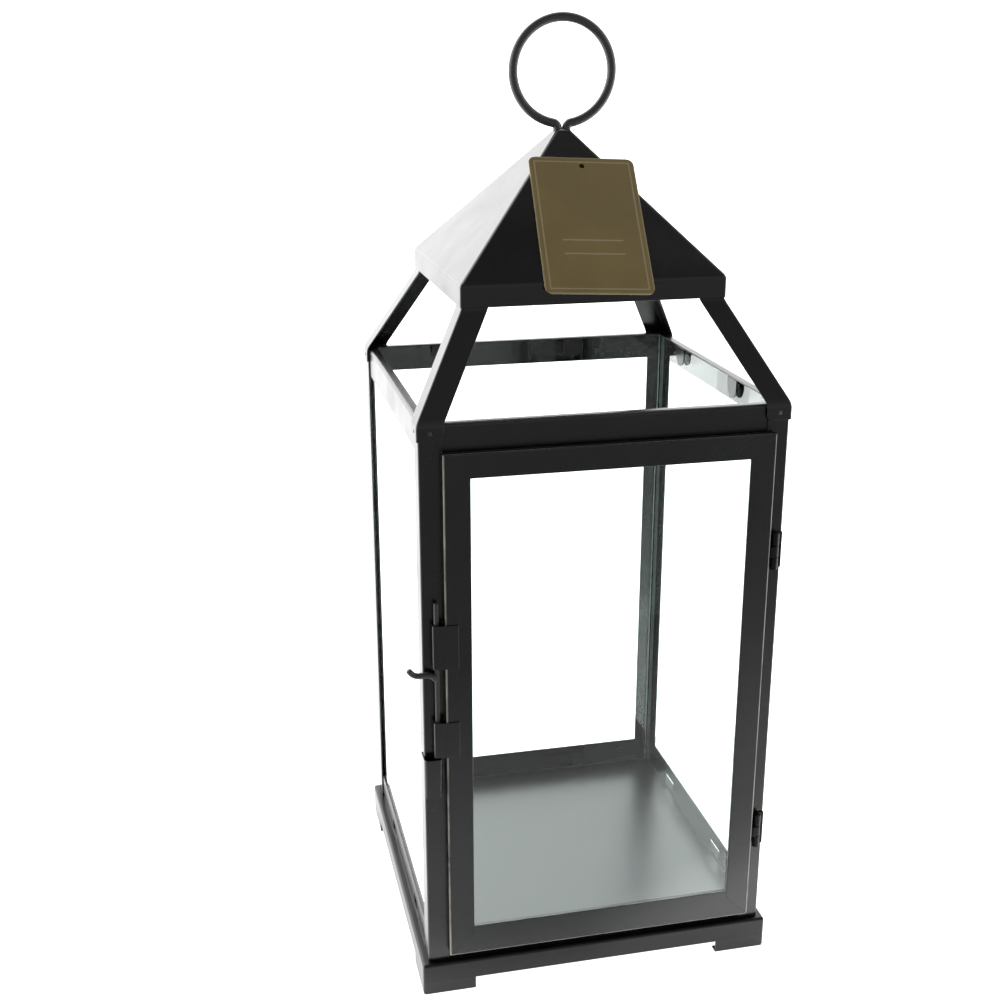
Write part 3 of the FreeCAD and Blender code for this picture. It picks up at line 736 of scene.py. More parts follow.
def round_tips(places, wire):
    """Add closing places at both ends of a wire, and give each place its radius share."""
    cap = ((0.0, 0.35), (0.12, 0.72), (0.4, 0.94))
    head = (places[1] - places[0]).normalized() * wire
    tail = (places[-1] - places[-2]).normalized() * wire
    start = [places[0] + head * along for along, _ in cap]
    finish = [places[-1] - tail * along for along, _ in reversed(cap)]
    inner = places[1:-1]
    path = start + [places[0] + head * 0.8] + inner + [places[-1] - tail * 0.8] + finish
    shares = [share for _, share in cap]
    radii = shares + [1.0] * (len(inner) + 2) + shares[::-1]
    return path, radii


# ---------------------------------------------------------------- base

def tray_ring(half, corner, lift, steps, cuts):
    """A level ring of places round the tray, with a place at each end of each foot gap."""
    ring = []
    for turn in (0, 90, 180, 270):
        middle = Vector((-half + corner, -half + corner, lift))
        for step in range(steps + 1):
            angle = math.pi + math.pi / 2 * step / steps
            spot = middle + Vector((math.cos(angle), math.sin(angle), 0)) * corner
            ring.append(turned(spot, turn))
        ring.extend(turned(Vector((cut, -half, lift)), turn) for cut in cuts)
    return ring


def tray_mesh(settings):
    """The tray's outer face: a flat top, rounded edges, and walls with a gap between the feet."""
    mesh = bmesh.new()
    wear_and_highlight = mesh.verts.layers.float.new("wear_and_highlight")
    fold = settings.tray_fold
    steps = settings.steps
    gap_half = HALF_BASE - FOOT_WIDTH
    slope = 0.5 * MM
    cuts = (-gap_half, gap_half)
    levels = []
    for step in range(steps + 1):
        angle = math.pi / 2 * step / steps
        inset = fold * (1 - math.sin(angle))
        lift = BASE_TOP - fold * (1 - math.cos(angle))
        levels.append((HALF_BASE - inset, max(fold - inset, 0.02 * MM), lift, math.sin(2 * angle)))
    levels.append((HALF_BASE, fold, FOOT_GAP + slope, 0.0))
    levels.append((HALF_BASE, fold, FOOT_GAP, 0.7))
    levels.append((HALF_BASE, fold, fold * 0.6, 0.0))
    levels.append((HALF_BASE - fold * 0.18, fold * 0.85, fold * 0.16, 0.8))
    levels.append((HALF_BASE - fold * 0.7, fold * 0.5, SHEET * 0.02, 0.3))
    levels.append((HALF_BASE - FOOT_RETURN, 0.02 * MM, SHEET * 0.02, 0.0))
    rows = []
    for half, corner, lift, amount in levels:
        row = []
        for spot in tray_ring(half, corner, lift, steps, cuts):
            vertex = mesh.verts.new(spot)
            vertex[wear_and_highlight] = amount
            row.append(vertex)
        rows.append(row)
    count = len(rows[0])
    per_side = count // 4
    gap_level = steps + 2
    for level, (upper, lower) in enumerate(zip(rows, rows[1:])):
        for index in range(count):
            if level >= gap_level and index % per_side == per_side - 2:
                continue
            following = (index + 1) % count
            mesh.faces.new((upper[index], lower[index], lower[following], upper[following]))
    mesh.faces.new(rows[0])
    bmesh.ops.remove_doubles(mesh, verts=mesh.verts, dist=0.005 * MM)
    bmesh.ops.recalc_face_normals(mesh, faces=mesh.faces)
    return mesh


def thickened(made, wall, edge):
    """Give an open skin its wall, inwards, and soften its cut edges."""
    solid = made.modifiers.new("wall", "SOLIDIFY")
    solid.thickness = wall
    solid.offset = -1.0
    solid.use_even_offset = True
    solid.use_quality_normals = True
    return soften(made, edge, 1, 60.0)


def build_base():
    settings = sheet_settings()
    made = to_object("folded_base", tray_mesh(settings))
    thickened(made, SHEET, settings.edge)
    finished(made, BODY, "black_sheet", "floor_paint", ["base_tray"])


# ---------------------------------------------------------------- posts, struts and rails

def angle_outline(outer, leg, wall, fold, steps):
    """An angle strip's outline, with its outside corner at -outer, -outer, as (x, y) and wear."""
    near = -outer + wall / 2
    far = -outer + leg
    line = rounded([(far, near), (near, near), (near, far)], fold - wall / 2, steps)
    return strip(line, wall)


def lifted(outline, height, turn):
    """A flat outline set level at a height and turned to its corner."""
    return [(turned(Vector((place.x, place.y, height)), turn), wear_and_highlight) for place, wear_and_highlight in outline]


def build_posts():
    settings = sheet_settings()
    outline = angle_outline(HALF_BODY, POST_LEG, SHEET, settings.fold, settings.steps)
    for name, turn in CORNER_TURNS.items():
        node = "corner_post_" + name
        stations = [lifted(outline, height, turn) for height in (BASE_TOP, KNEE)]
        finished(swept("folded_post_" + name, stations), BODY, "black_sheet", "black_paint", [node])


def strut_stations():
    """Heights up a strut, with its outside corner's distance and its leg's width at each."""
    foot = HALF_BODY + SHEET
    head = HALF_ROOF - SHEET
    leg = high("roof_strut_front_left").x + head
    blend = 2.2 * MM
    corner = 3.2 * MM
    stations = []
    for step in range(7):
        rise = corner * (1 - math.cos(math.pi / 2 * step / 6))
        short = corner * (1 - math.sin(math.pi / 2 * step / 6))
        stations.append((COLLAR_BOTTOM + rise, foot, leg - short))
    rake = (head - foot) / (EAVE - KNEE)
    for step in range(-4, 5):
        part = step / 4
        bend = rake * blend * (part + 1) ** 2 / 4
        stations.append((KNEE + blend * part, foot + bend, leg))
    for step in range(-4, 5):
        part = step / 4
        bend = rake * blend * (1 - part) ** 2 / 4
        stations.append((EAVE + blend * part, head - bend, leg))
    stations.append((STRUT_TOP, head, leg))
    return stations


def build_struts():
    settings = sheet_settings()
    for name, turn in CORNER_TURNS.items():
        stations = []
        for height, outer, leg in strut_stations():
            outline = angle_outline(outer, leg, SHEET, settings.fold, settings.steps)
            stations.append(lifted(outline, height, turn))
        finished(swept("raking_strut_" + name, stations), BODY, "black_sheet", "black_paint",
                 ["roof_strut_" + name])


def rail_station(outline, outer, turn, sign):
    """One end of a rail whose outline is (depth, height): the end is cut at 45 degrees."""
    station = []
    for place, wear_and_highlight in outline:
        spot = Vector((sign * (outer - place.x), -outer + place.x, place.y))
        station.append((turned(spot, turn), wear_and_highlight))
    return station


def build_top_rails():
    settings = sheet_settings()
    outer = HALF_BODY - SHEET
    middle = SHEET / 2
    line = rounded([(middle, RAIL_BOTTOM), (middle, KNEE - middle), (RAIL_FLANGE, KNEE - middle)],
                   settings.rail_fold - middle, settings.steps)
    outline = strip(line, SHEET)
    for name, turn in SIDE_TURNS.items():
        stations = [rail_station(outline, outer, turn, sign) for sign in (-1, 1)]
        finished(swept("folded_top_rail_" + name, stations), BODY, "black_sheet", "black_paint",
                 ["top_rail_" + name])


def tongue_mesh(name, reach, drop, half_width, wall, top, steps):
    """A tongue that leaves a flange and turns down, with a rounded free end."""
    inner = -HALF_BODY + SHEET + RAIL_FLANGE
    path = rounded([(inner - reach, top - wall / 2), (inner - wall / 2, top - wall / 2),
                    (inner - wall / 2, top - drop)], wall, steps)
    fall = path[-1][0].y
    spots = path[:-1]
    for step in range(9):
        height = fall + half_width * (1 - math.sin(math.pi / 2 * step / 8))
        spots.append((Vector((path[-1][0].x, height)), path[-1][1], 0.2))
    stations = []
    for place, way, bent in spots:
        side = Vector((-way.y, way.x)) * wall / 2
        over = max(0.0, fall + half_width - place.y) / half_width
        width = half_width * math.sqrt(max(0.0016, 1 - over * over))
        ring = []
        for across, offset in ((-width, side), (width, side), (width, -side), (-width, -side)):
            spot = place + offset
            ring.append((Vector((across, spot.x, spot.y)), bent))
        stations.append(ring)
    return soften(to_object(name, skin(stations)), wall * 0.15, 1)


def build_tongues():
    """The glass tongues under the top rails' flanges, on the three glazed sides."""
    settings = sheet_settings()
    one = baked(tongue_mesh("glass_tongues", TONGUE_REACH, TONGUE_DROP, TONGUE_HALF, SHEET,
                            KNEE - 0.06 * MM, settings.steps))
    made = grow(one, "rows_round_sides", In_a_row=2, Row_start=(FIRST_TONGUE, 0.0, 0.0),
                Row_step=(TONGUE_PITCH, 0.0, 0.0), Sides=3, First_side=math.pi / 2,
                Material=material("black_paint"))
    finished(made, BODY, "black_sheet", "black_paint")


def slotted_plate(name, half, bottom, top, slots, slot_low, slot_high, outer):
    """A flat rail's outer face with level slots."""
    mesh = bmesh.new()
    mesh.verts.layers.float.new("wear_and_highlight")
    across = sorted([-half, half] + [edge for slot in slots for edge in slot])
    heights = [bottom, slot_low, slot_high, top]
    grid = [[mesh.verts.new((x, -outer, z)) for x in across] for z in heights]
    for row in range(3):
        for column in range(len(across) - 1):
            middle = (across[column] + across[column + 1]) / 2
            in_slot = row == 1 and any(first < middle < last for first, last in slots)
            if not in_slot:
                mesh.faces.new((grid[row][column], grid[row][column + 1],
                                grid[row + 1][column + 1], grid[row + 1][column]))
    bmesh.ops.recalc_face_normals(mesh, faces=mesh.faces)
    return to_object(name, mesh)


def build_bottom_rails():
    settings = sheet_settings()
    outer = HALF_BODY - SHEET
    half = outer - SHEET
    places = [(middle - SLOT_HALF, middle + SLOT_HALF) for middle in SLOT_MIDDLES]
    for name in SIDE_TURNS:
        slots = places if name in ("left", "right") else []
        made = slotted_plate("slotted_rail_" + name, half, BASE_TOP, SILL_TOP, slots,
                             BASE_TOP + SLOT_LOW, BASE_TOP + SLOT_HIGH, outer)
        for polygon in made.data.polygons:
            if polygon.normal.y > 0:
                made.data.flip_normals()
                break
        thickened(made, SHEET, settings.edge)
        baked(made)
        made.data.transform(Matrix.Rotation(math.radians(SIDE_TURNS[name]), 4, "Z"))
        finished(made, BODY, "black_sheet", "black_paint", ["bottom_rail_" + name])


def build_rivets():
    """Low button heads on the knee collars."""
    mesh = bmesh.new()
    mesh.verts.layers.float.new("wear_and_highlight")
    radius = RIVET_RADIUS
    ball = (radius ** 2 + RIVET_RISE ** 2) / (2 * RIVET_RISE)
    rings = []
    for step in range(6):
        spread = radius * step / 5
        height = math.sqrt(ball ** 2 - spread ** 2) - ball + RIVET_RISE
        rings.append((spread, height))
    rows = []
    for spread, height in rings[1:] + [(radius, -0.1 * MM)]:
        rows.append([mesh.verts.new((spread * math.cos(math.tau * side / 16), -height,
                                     spread * math.sin(math.tau * side / 16))) for side in range(16)])
    tip = mesh.verts.new((0, -rings[0][1], 0))
    for side in range(16):
        mesh.faces.new((tip, rows[0][side], rows[0][(side + 1) % 16]))
    for upper, lower in zip(rows, rows[1:]):
        for side in range(16):
            after = (side + 1) % 16
            mesh.faces.new((upper[side], lower[side], lower[after], upper[after]))
    mesh.faces.new(rows[-1])
    bmesh.ops.recalc_face_normals(mesh, faces=mesh.faces)
    one = to_object("collar_rivets", mesh)
    face = HALF_BODY + SHEET
    across = face - RIVET_INSET
    height = (COLLAR_BOTTOM + KNEE) / 2
    one.data.transform(Matrix.Translation((0, -face, height)))
    made = grow(one, "rows_round_sides", In_a_row=2, Row_start=(-across, 0.0, 0.0),
                Row_step=(2 * across, 0.0, 0.0), Sides=4, First_side=0.0,
                Material=material("wire_paint"))
    finished(made, BODY, "black_wire", "wire_paint", ["knee_rivets"])


# ---------------------------------------------------------------- roof and ring

def roof_mesh(fold, steps):
    """The roof's outer face: crown, four slopes and an upright skirt."""
    mesh = bmesh.new()
    mesh.verts.layers.float.new("wear_and_highlight")
    skirt_top = EAVE + SKIRT
    tip = CROWN + CROWN_RAISE
    crown = HALF_ROOF * (CROWN_POINT - tip) / (CROWN_POINT - skirt_top)
    rows = []
    for half, height in ((crown, tip), (HALF_ROOF, skirt_top), (HALF_ROOF, EAVE)):
        rows.append([mesh.verts.new(turned(Vector((-half, -half, height)), turn))
                     for turn in (0, 90, 180, 270)])
    mesh.faces.new(rows[0])
    for upper, lower in zip(rows, rows[1:]):
        for side in range(4):
            after = (side + 1) % 4
            mesh.faces.new((upper[side], lower[side], lower[after], upper[after]))
    bmesh.ops.recalc_face_normals(mesh, faces=mesh.faces)
    edges = [edge for edge in mesh.edges if not edge.is_boundary]
    bmesh.ops.bevel(mesh, geom=edges, offset=fold, offset_type="OFFSET", segments=steps, profile=0.5,
                    affect="EDGES", clamp_overlap=True)
    return mesh


def build_roof():
    settings = sheet_settings()
    made = to_object("folded_roof", roof_mesh(settings.hip_fold, 4))
    thickened(made, SHEET, settings.edge)
    finished(made, BODY, "black_sheet", "black_paint", ["roof_cap"])


def build_ring():
    """One wire: two tails side by side that open into the round ring."""
    wire = (RING_HIGH.y - RING_LOW.y) / 2
    big = (RING_HIGH.x - RING_LOW.x) / 2 - wire
    centre = Vector((0, 0, RING_HIGH.z - wire - big))
    small = RING_BEND
    tail = wire + TAIL_PLAY
    rise = math.sqrt((big + small) ** 2 - (tail + small) ** 2)
    bend = Vector((tail + small, 0, centre.z - rise))
    away = math.atan2(rise, -(tail + small))
    first = math.atan2(-rise, tail + small)
    right = [Vector((tail, 0, RING_LOW.z))]
    right += arc_places(bend, small, math.pi, away, 10)
    loop = arc_places(centre, big, first, math.pi - first, 96)[1:-1]
    left = [Vector((-spot.x, 0, spot.z)) for spot in reversed(right)]
    places, radii = round_tips(right + loop + left, wire)
    curve = wire_curve("wire_ring", places, radii)
    made = grow(curve, "wire_along_curve", Wire_radius=wire, Sides=24, Material=material("wire_paint"))
    finished(made, BODY, "black_wire", "wire_paint", ["hanging_ring"])


# ---------------------------------------------------------------- glass

def pane(name, node, body):
    """A pane with slightly ground edges; the edges show green."""
    first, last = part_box(node)
    mesh = bmesh.new()
    mesh.verts.layers.float.new("wear_and_highlight")
    bmesh.ops.create_cube(mesh, size=1.0)
    size = last - first
    middle = (first + last) / 2
    bmesh.ops.scale(mesh, vec=size, verts=mesh.verts)
    bmesh.ops.translate(mesh, vec=middle, verts=mesh.verts)
    bmesh.ops.bevel(mesh, geom=list(mesh.edges), offset=0.25 * MM, segments=2, profile=0.5,
                    affect="EDGES")
    made = to_object(name, mesh)
    thin = min(range(3), key=lambda axis: size[axis])
    made.data.materials.append(material("clear_pane"))
    made.data.materials.append(material("pane_edge"))
    finished(made, body, "clear_glass", None, [node])
    for polygon in made.data.polygons:
        polygon.material_index = 0 if abs(polygon.normal[thin]) > 0.9 else 1
    return made


def build_glass():
    for side in ("back", "left", "right"):
        pane("pane_" + side, "glass_" + side, BODY)
    pane("pane_door", "door_glass", DOOR)


# ---------------------------------------------------------------- door

def channel(face, lip, knee, settings):
    """A door strip's outline as (inwards, backwards): face, outer web and back lip."""
    middle = SHEET / 2
    depth = DOOR_HIGH.y - DOOR_LOW.y
    corners = [(face, middle), (knee, middle), (middle, middle),
               (middle, depth - middle), (lip, depth - middle)]
    if knee >= face - 0.1 * MM:
        corners.pop(1)
    return strip(rounded(corners, settings.fold - middle, settings.steps), SHEET)


def build_door_frame():
    """Four folded channels, mitred at the corners of the door."""
    settings = sheet_settings()
    lip = 6.0 * MM
    front = DOOR_LOW.y
    stile = channel(STILE_FACE, lip, TOP_FACE, settings)
    for name, edge, sign in (("left", DOOR_LOW.x, 1), ("right", DOOR_HIGH.x, -1)):
        lower, upper = [], []
        for place, wear_and_highlight in stile:
            spot_x = edge + sign * place.x
            lower.append((Vector((spot_x, front + place.y, DOOR_LOW.z + place.x)), wear_and_highlight))
            upper.append((Vector((spot_x, front + place.y,
                                  DOOR_HIGH.z - min(place.x, TOP_FACE))), wear_and_highlight))
        # The stiles take the door paint, with its painted highlight along the folds.
        finished(swept("folded_stile_" + name, [lower, upper]), DOOR, "black_sheet", "door_paint_with_fold_highlight",
                 ["door_stile_" + name])
    for name, edge, sign, face in (("bottom", DOOR_LOW.z, 1, BOTTOM_FACE),
                                   ("top", DOOR_HIGH.z, -1, TOP_FACE)):
        first, last = [], []
        for place, wear_and_highlight in channel(face, lip, min(STILE_FACE, face), settings):
            inset = min(place.x, STILE_FACE)
            height = edge + sign * place.x
            first.append((Vector((DOOR_LOW.x + inset, front + place.y, height)), wear_and_highlight))
            last.append((Vector((DOOR_HIGH.x - inset, front + place.y, height)), wear_and_highlight))
        # The bottom rail takes the painted fold highlight; the top rail is plain black paint.
        paint = "door_paint_with_fold_highlight" if name == "bottom" else "black_paint"
        finished(swept("folded_door_rail_" + name, [first, last]), DOOR, "black_sheet", paint,
                 ["door_rail_" + name])


# ---------------------------------------------------------------- hinges

def upright(outline, bottom, top):
    """Stations of an upright piece from a plan outline."""
    return [[(Vector((place.x, place.y, height)), wear_and_highlight) for place, wear_and_highlight in outline]
            for height in (bottom, top)]


def knuckle_line(radius, first, last, count):
    """Part of a circle round the hinge axis, as a plan line."""
    line = []
    for step in range(count + 1):
        angle = first + (last - first) * step / count
        way = Vector((-math.sin(angle), math.cos(angle)))
        place = Vector((HINGE.x, HINGE.y)) + Vector((math.cos(angle), math.sin(angle))) * radius
        line.append((place, way, 0.5))
    return line


def build_hinge(name):
    """Two rolled leaves on a pin."""
    pin_low, pin_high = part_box("hinge_pin_" + name)
    knuckle = (pin_high.z - pin_low.z) / 3
    barrel = HINGE.y - low("hinge_leaf_post_" + name).y
    pin = (pin_high.x - pin_low.x) / 2
    post_face = high("hinge_leaf_post_" + name).y
    wall = post_face - HINGE.y - barrel - 0.05 * MM
    middle = barrel - wall / 2
    plate_y = post_face - wall / 2
    leaf_end = high("hinge_leaf_post_" + name).x - 0.1 * MM
    roll = knuckle_line(middle, math.pi / 2, math.pi / 2 + math.radians(330), 22)
    leaf_edge = Vector((leaf_end, plate_y))
    crank = (Vector((HINGE.x + 1.6 * MM, plate_y)), Vector((-0.96, -0.28)), 0.6)
    fixed = [(leaf_edge, Vector((-1, 0)), 0.0), crank] + roll
    plate = [(leaf_edge, Vector((-1, 0)), 0.0),
             (Vector((HINGE.x - barrel * 0.6, plate_y)), Vector((-1, 0)), 0.0)]
    parts = []
    for index, lift in enumerate((0, 2)):
        bottom = pin_low.z + lift * knuckle
        stations = upright(strip(fixed, wall), bottom + 0.02 * MM, bottom + knuckle - 0.02 * MM)
        parts.append(baked(swept(f"roll_{name}_{index}", stations)))
    parts.append(baked(swept("plate_" + name, upright(strip(plate, wall), pin_low.z + knuckle,
                                                     pin_high.z - knuckle))))
    finished(joined("rolled_leaf_post_" + name, parts), BODY, "black_sheet", "hinge_paint",
             ["hinge_leaf_post_" + name])
    door_edge = DOOR_HIGH.x + wall / 2
    arm = knuckle_line(middle, -math.pi / 2, -math.pi / 2 + math.radians(330), 22)
    front_y = HINGE.y - middle
    corners = rounded([(door_edge, HINGE.y + barrel * 0.4), (door_edge, front_y),
                       (HINGE.x - 0.2 * MM, front_y)], 0.5 * MM, 4)
    gap = 0.3 * MM
    stations = upright(strip(corners[:-1] + arm, wall * 0.96), pin_low.z + knuckle + gap,
                       pin_high.z - knuckle - gap)
    finished(swept("rolled_leaf_door_" + name, stations), DOOR, "black_sheet", "hinge_paint",
             ["hinge_leaf_door_" + name])
    top = Vector((HINGE.x, HINGE.y, pin_high.z))
    bottom = Vector((HINGE.x, HINGE.y, pin_low.z))
    places, radii = round_tips([bottom, bottom.lerp(top, 0.5), top], pin)
    curve = wire_curve("plain_pin_" + name, places, radii)
    made = grow(curve, "wire_along_curve", Wire_radius=pin, Sides=16, Material=material("hinge_paint"))
    finished(made, BODY, "black_wire", "hinge_paint", ["hinge_pin_" + name])


def build_hinges():
    for name in ("lower", "upper"):
        build_hinge(name)


# ---------------------------------------------------------------- latch

def bolt_axis():
    """The bolt's upright axis in plan and its wire's radius."""
    first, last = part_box("latch_bolt")
    wire = (last.y - first.y) / 2
    return Vector((last.x - wire, (first.y + last.y) / 2)), wire


def strap_line(node, settings):
    """A strap's centre line in plan: the flange on the door, round the bolt, back to the door."""
    first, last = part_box(node)
    wall = settings.strap
    front = first.y + wall / 2
    left = first.x + wall / 2
    back = last.y - wall / 2
    slope = 0.95 * MM
    corners = [(last.x, front), (DOOR_LOW.x - 0.1 * MM, front), (left, front + slope),
               (left, back), (DOOR_LOW.x, back)]
    return rounded(corners, 0.55 * MM, settings.steps)


def build_straps():
    settings = sheet_settings()
    for name in ("lower", "upper"):
        node = "latch_strap_" + name
        first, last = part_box(node)
        outline = strip(strap_line(node, settings), settings.strap)
        made = swept("folded_strap_" + name, upright(outline, first.z, last.z))
        finished(made, DOOR, "black_sheet", "black_paint", [node])


def build_keeper():
    """A strap bulged off the post, a little narrower at its foot."""
    settings = sheet_settings()
    first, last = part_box("latch_keeper")
    wall = settings.strap
    stations = []
    for step in range(7):
        part = step / 6
        pinch = 0.9 * MM * (1 - part)
        left = first.x + wall / 2
        right = last.x - wall / 2 - pinch * 0.35
        front = first.y + wall / 2 + 0.35 * MM * (1 - part)
        corners = [(left, last.y), (left, front), (right, front), (right, -HALF_BODY)]
        outline = strip(rounded(corners, 1.5 * MM, settings.steps + 2), wall)
        height = first.z + (last.z - first.z) * part
        stations.append([(Vector((place.x, place.y, height)), wear_and_highlight) for place, wear_and_highlight in outline])
    finished(swept("bulged_keeper", stations), BODY, "black_sheet", "black_paint", ["latch_keeper"])


def build_bolt():
    """The drop bolt: a straight rod, and a grip that leaves it in a bend and curls up."""
    first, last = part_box("latch_bolt")
    axis, wire = bolt_axis()
    rod = [Vector((axis.x, axis.y, first.z)), Vector((axis.x, axis.y, (first.z + last.z) / 2)),
           Vector((axis.x, axis.y, last.z))]
    places, radii = round_tips(rod, wire)
    parts = [grow(wire_curve("rod", places, radii), "wire_along_curve", Wire_radius=wire, Sides=20,
                  Material=material("wire_paint"))]
    root = 5.0 * MM
    curl = 4.5 * MM
    turn = math.radians(50.0)
    far = axis.x - root - 3.5 * MM
    grip = arc_places(Vector((axis.x - root, axis.y, GRIP_LEVEL - root)), root, 0.3, math.pi / 2, 9)
    grip += arc_places(Vector((far, axis.y, GRIP_LEVEL + curl)), curl, -math.pi / 2, -math.pi / 2 - turn, 8)
    grip.append(grip[-1] + Vector((-math.cos(turn), 0, math.sin(turn))) * 2.5 * MM)
    places, radii = round_tips(grip, wire * GRIP_SHARE)
    parts.append(grow(wire_curve("grip", places, radii), "wire_along_curve",
                      Wire_radius=wire * GRIP_SHARE,
                      Sides=20, Material=material("wire_paint")))
    finished(joined("bent_bolt", parts), LATCH, "black_wire", "wire_paint", ["latch_bolt"])


# ---------------------------------------------------------------- tag

def tag_frame():
    """The tag's own axes and middle, from the roof's slope and the card's tilt."""
    rise = CROWN_POINT - (EAVE + SKIRT)
    slope = math.atan2(rise, HALF_ROOF)
    lie = Matrix.Rotation(slope, 3, "X")
    askew = Matrix.Rotation(math.radians(-TAG_TILT), 3, "Z")
    turn = lie @ askew
    down = lie @ Vector((TAG_SHIFT, -TAG_DROP, TAG_LIFT))
    return turn, Vector((0, 0, CROWN_POINT)) + down


def card_ring(grow_by, corner, steps):
    """The card's outline in its own plane, moved in or out."""
    half = TAG_WIDE / 2 + grow_by
    long = TAG_LONG + grow_by
    ring = []
    centres = ((half - corner, -corner + grow_by, 0.0), (-half + corner, -corner + grow_by, 90.0),
               (-half + corner, -long + corner, 180.0), (half - corner, -long + corner, 270.0))
    for x, y, start in centres:
        for step in range(steps + 1):
            angle = math.radians(start + 90.0 * step / steps)
            ring.append(Vector((x + corner * math.cos(angle), y + corner * math.sin(angle), 0)))
    return ring


def build_tag():
    """A blank card with rounded corners and a punched hole."""
    soft = 0.12 * MM
    steps = 8
    count = 4 * (steps + 1)
    hole = Vector((0, -4.8 * MM, 0))
    mesh = bmesh.new()
    mesh.verts.layers.float.new("wear_and_highlight")
    rows = []
    for grow_by, height in ((-soft, 0.0), (0.0, soft), (0.0, TAG_SHEET - soft), (-soft, TAG_SHEET)):
        rows.append([mesh.verts.new(spot + UP * height) for spot in card_ring(grow_by, TAG_CORNER, steps)])
    holes = []
    for radius, height in ((TAG_HOLE + soft, 0.0), (TAG_HOLE, soft), (TAG_HOLE, TAG_SHEET - soft),
                           (TAG_HOLE + soft, TAG_SHEET)):
        holes.append([mesh.verts.new(hole + UP * height + radius * Vector(
            (math.cos(math.tau * side / count), math.sin(math.tau * side / count), 0)))
            for side in range(count)])
    for ring_set in (rows, holes):
        for lower, upper in zip(ring_set, ring_set[1:]):
            for side in range(count):
                after = (side + 1) % count
                mesh.faces.new((lower[side], lower[after], upper[after], upper[side]))
    for level in (0, -1):
        rim = []
        for ring in (rows[level], holes[level]):
            rim += [mesh.edges.get((ring[side], ring[(side + 1) % count])) for side in range(count)]
        bmesh.ops.triangle_fill(mesh, use_beauty=True, edges=rim)
    bmesh.ops.recalc_face_normals(mesh, faces=mesh.faces)
    made = to_object("blank_card_tag", mesh)
    flat = made.data.uv_layers.new(name="card")
    for loop in made.data.loops:
        place = made.data.vertices[loop.vertex_index].co
        flat.data[loop.index].uv = (place.x, place.y + TAG_LONG / 2)
    turn, place = tag_frame()
    made.data.transform(Matrix.Translation(place) @ turn.to_4x4())
    made.data.materials.append(card_material(
        (TAG_WIDE / 2, TAG_LONG / 2, 0.5 * MM), ((-9.0 * MM, 14.0 * MM), (-16.5 * MM, 14.0 * MM))))
    finished(made, BODY, "tag_card", None, ["hang_tag"])


# ---------------------------------------------------------------- stage

def world_light(settings):
    """A white surround that falls dark overhead and behind the camera."""
    world = bpy.data.worlds.new("soft_surround")
    bpy.context.scene.world = world
    nodes = Nodes(world)
    way = nodes.add("ShaderNodeTexCoord").outputs["Generated"]
    dot = nodes.add("ShaderNodeVectorMath", operation="DOT_PRODUCT")
    dark_way = Vector((-0.1, -0.75, 0.66)).normalized()
    dot.inputs[1].default_value = dark_way
    nodes.join(way, dot.inputs[0])
    bright = nodes.add("ShaderNodeMapRange", interpolation_type="SMOOTHSTEP")
    for name, number in (("From Min", 0.15), ("From Max", 0.72), ("To Min", 1.0), ("To Max", 0.0)):
        bright.inputs[name].default_value = number
    nodes.join(dot.outputs["Value"], bright.inputs["Value"])
    split = nodes.add("ShaderNodeSeparateXYZ")
    nodes.join(way, split.inputs["Vector"])
    left_share = nodes.span(split.outputs["X"], -0.25, 0.35, 1.0, settings.right_share)
    white = nodes.math("MULTIPLY", nodes.math("MULTIPLY", bright.outputs["Result"], left_share),
                       settings.sky)
    front = nodes.math("POWER", nodes.span(split.outputs["Y"], -1.0, 0.0, 1.0, 0.0), 2.0)
    dim = nodes.math("ADD", nodes.math("MULTIPLY", front, settings.front), settings.dark)
    strength = nodes.math("ADD", white, dim)
    light = nodes.add("ShaderNodeBackground")
    light.inputs["Color"].default_value = (1.0, 1.0, 1.0, 1.0)
    nodes.join(strength, light.inputs["Strength"])
    output = nodes.add("ShaderNodeOutputWorld")
    nodes.join(light.outputs["Background"], output.inputs["Surface"])


def floor_material(settings):
    """A pale floor that glows softly near the lantern, as a lit table does, with its colour painted darker
    far in front as painted shade.
    """
    made = bpy.data.materials.new("pale_floor")
    nodes = Nodes(made)
    place = nodes.add("ShaderNodeTexCoord").outputs["Object"]
    split = nodes.add("ShaderNodeSeparateXYZ")
    nodes.join(place, split.inputs["Vector"])
    rightward = nodes.math("MULTIPLY", nodes.math("MAXIMUM", split.outputs["X"], 0.0), 0.5)
    forward = nodes.math("ADD", split.outputs["Y"], rightward)
    wide = nodes.span(forward, -0.42, -0.12, 0.0, 1.0)
    close = nodes.span(forward, -0.135, -0.095, 0.0, 1.0)
    shader = nodes.add("ShaderNodeBsdfPrincipled")
    # Painted shade: far in front of the lantern the floor's colour falls to 0.22 of itself.
    painted_shade = tuple(0.22 * share for share in settings.floor)
    nodes.join(nodes.mix(wide, rgba(painted_shade), rgba(settings.floor)), shader.inputs["Base Color"])
    shader.inputs["Roughness"].default_value = 0.7
    shader.inputs["Emission Color"].default_value = (1.0, 1.0, 1.0, 1.0)
    nodes.join(nodes.math("ADD", nodes.math("MULTIPLY", wide, 0.1),
                          nodes.math("MULTIPLY", close, settings.glow)), shader.inputs["Emission Strength"])
    nodes.close(shader)
    return made


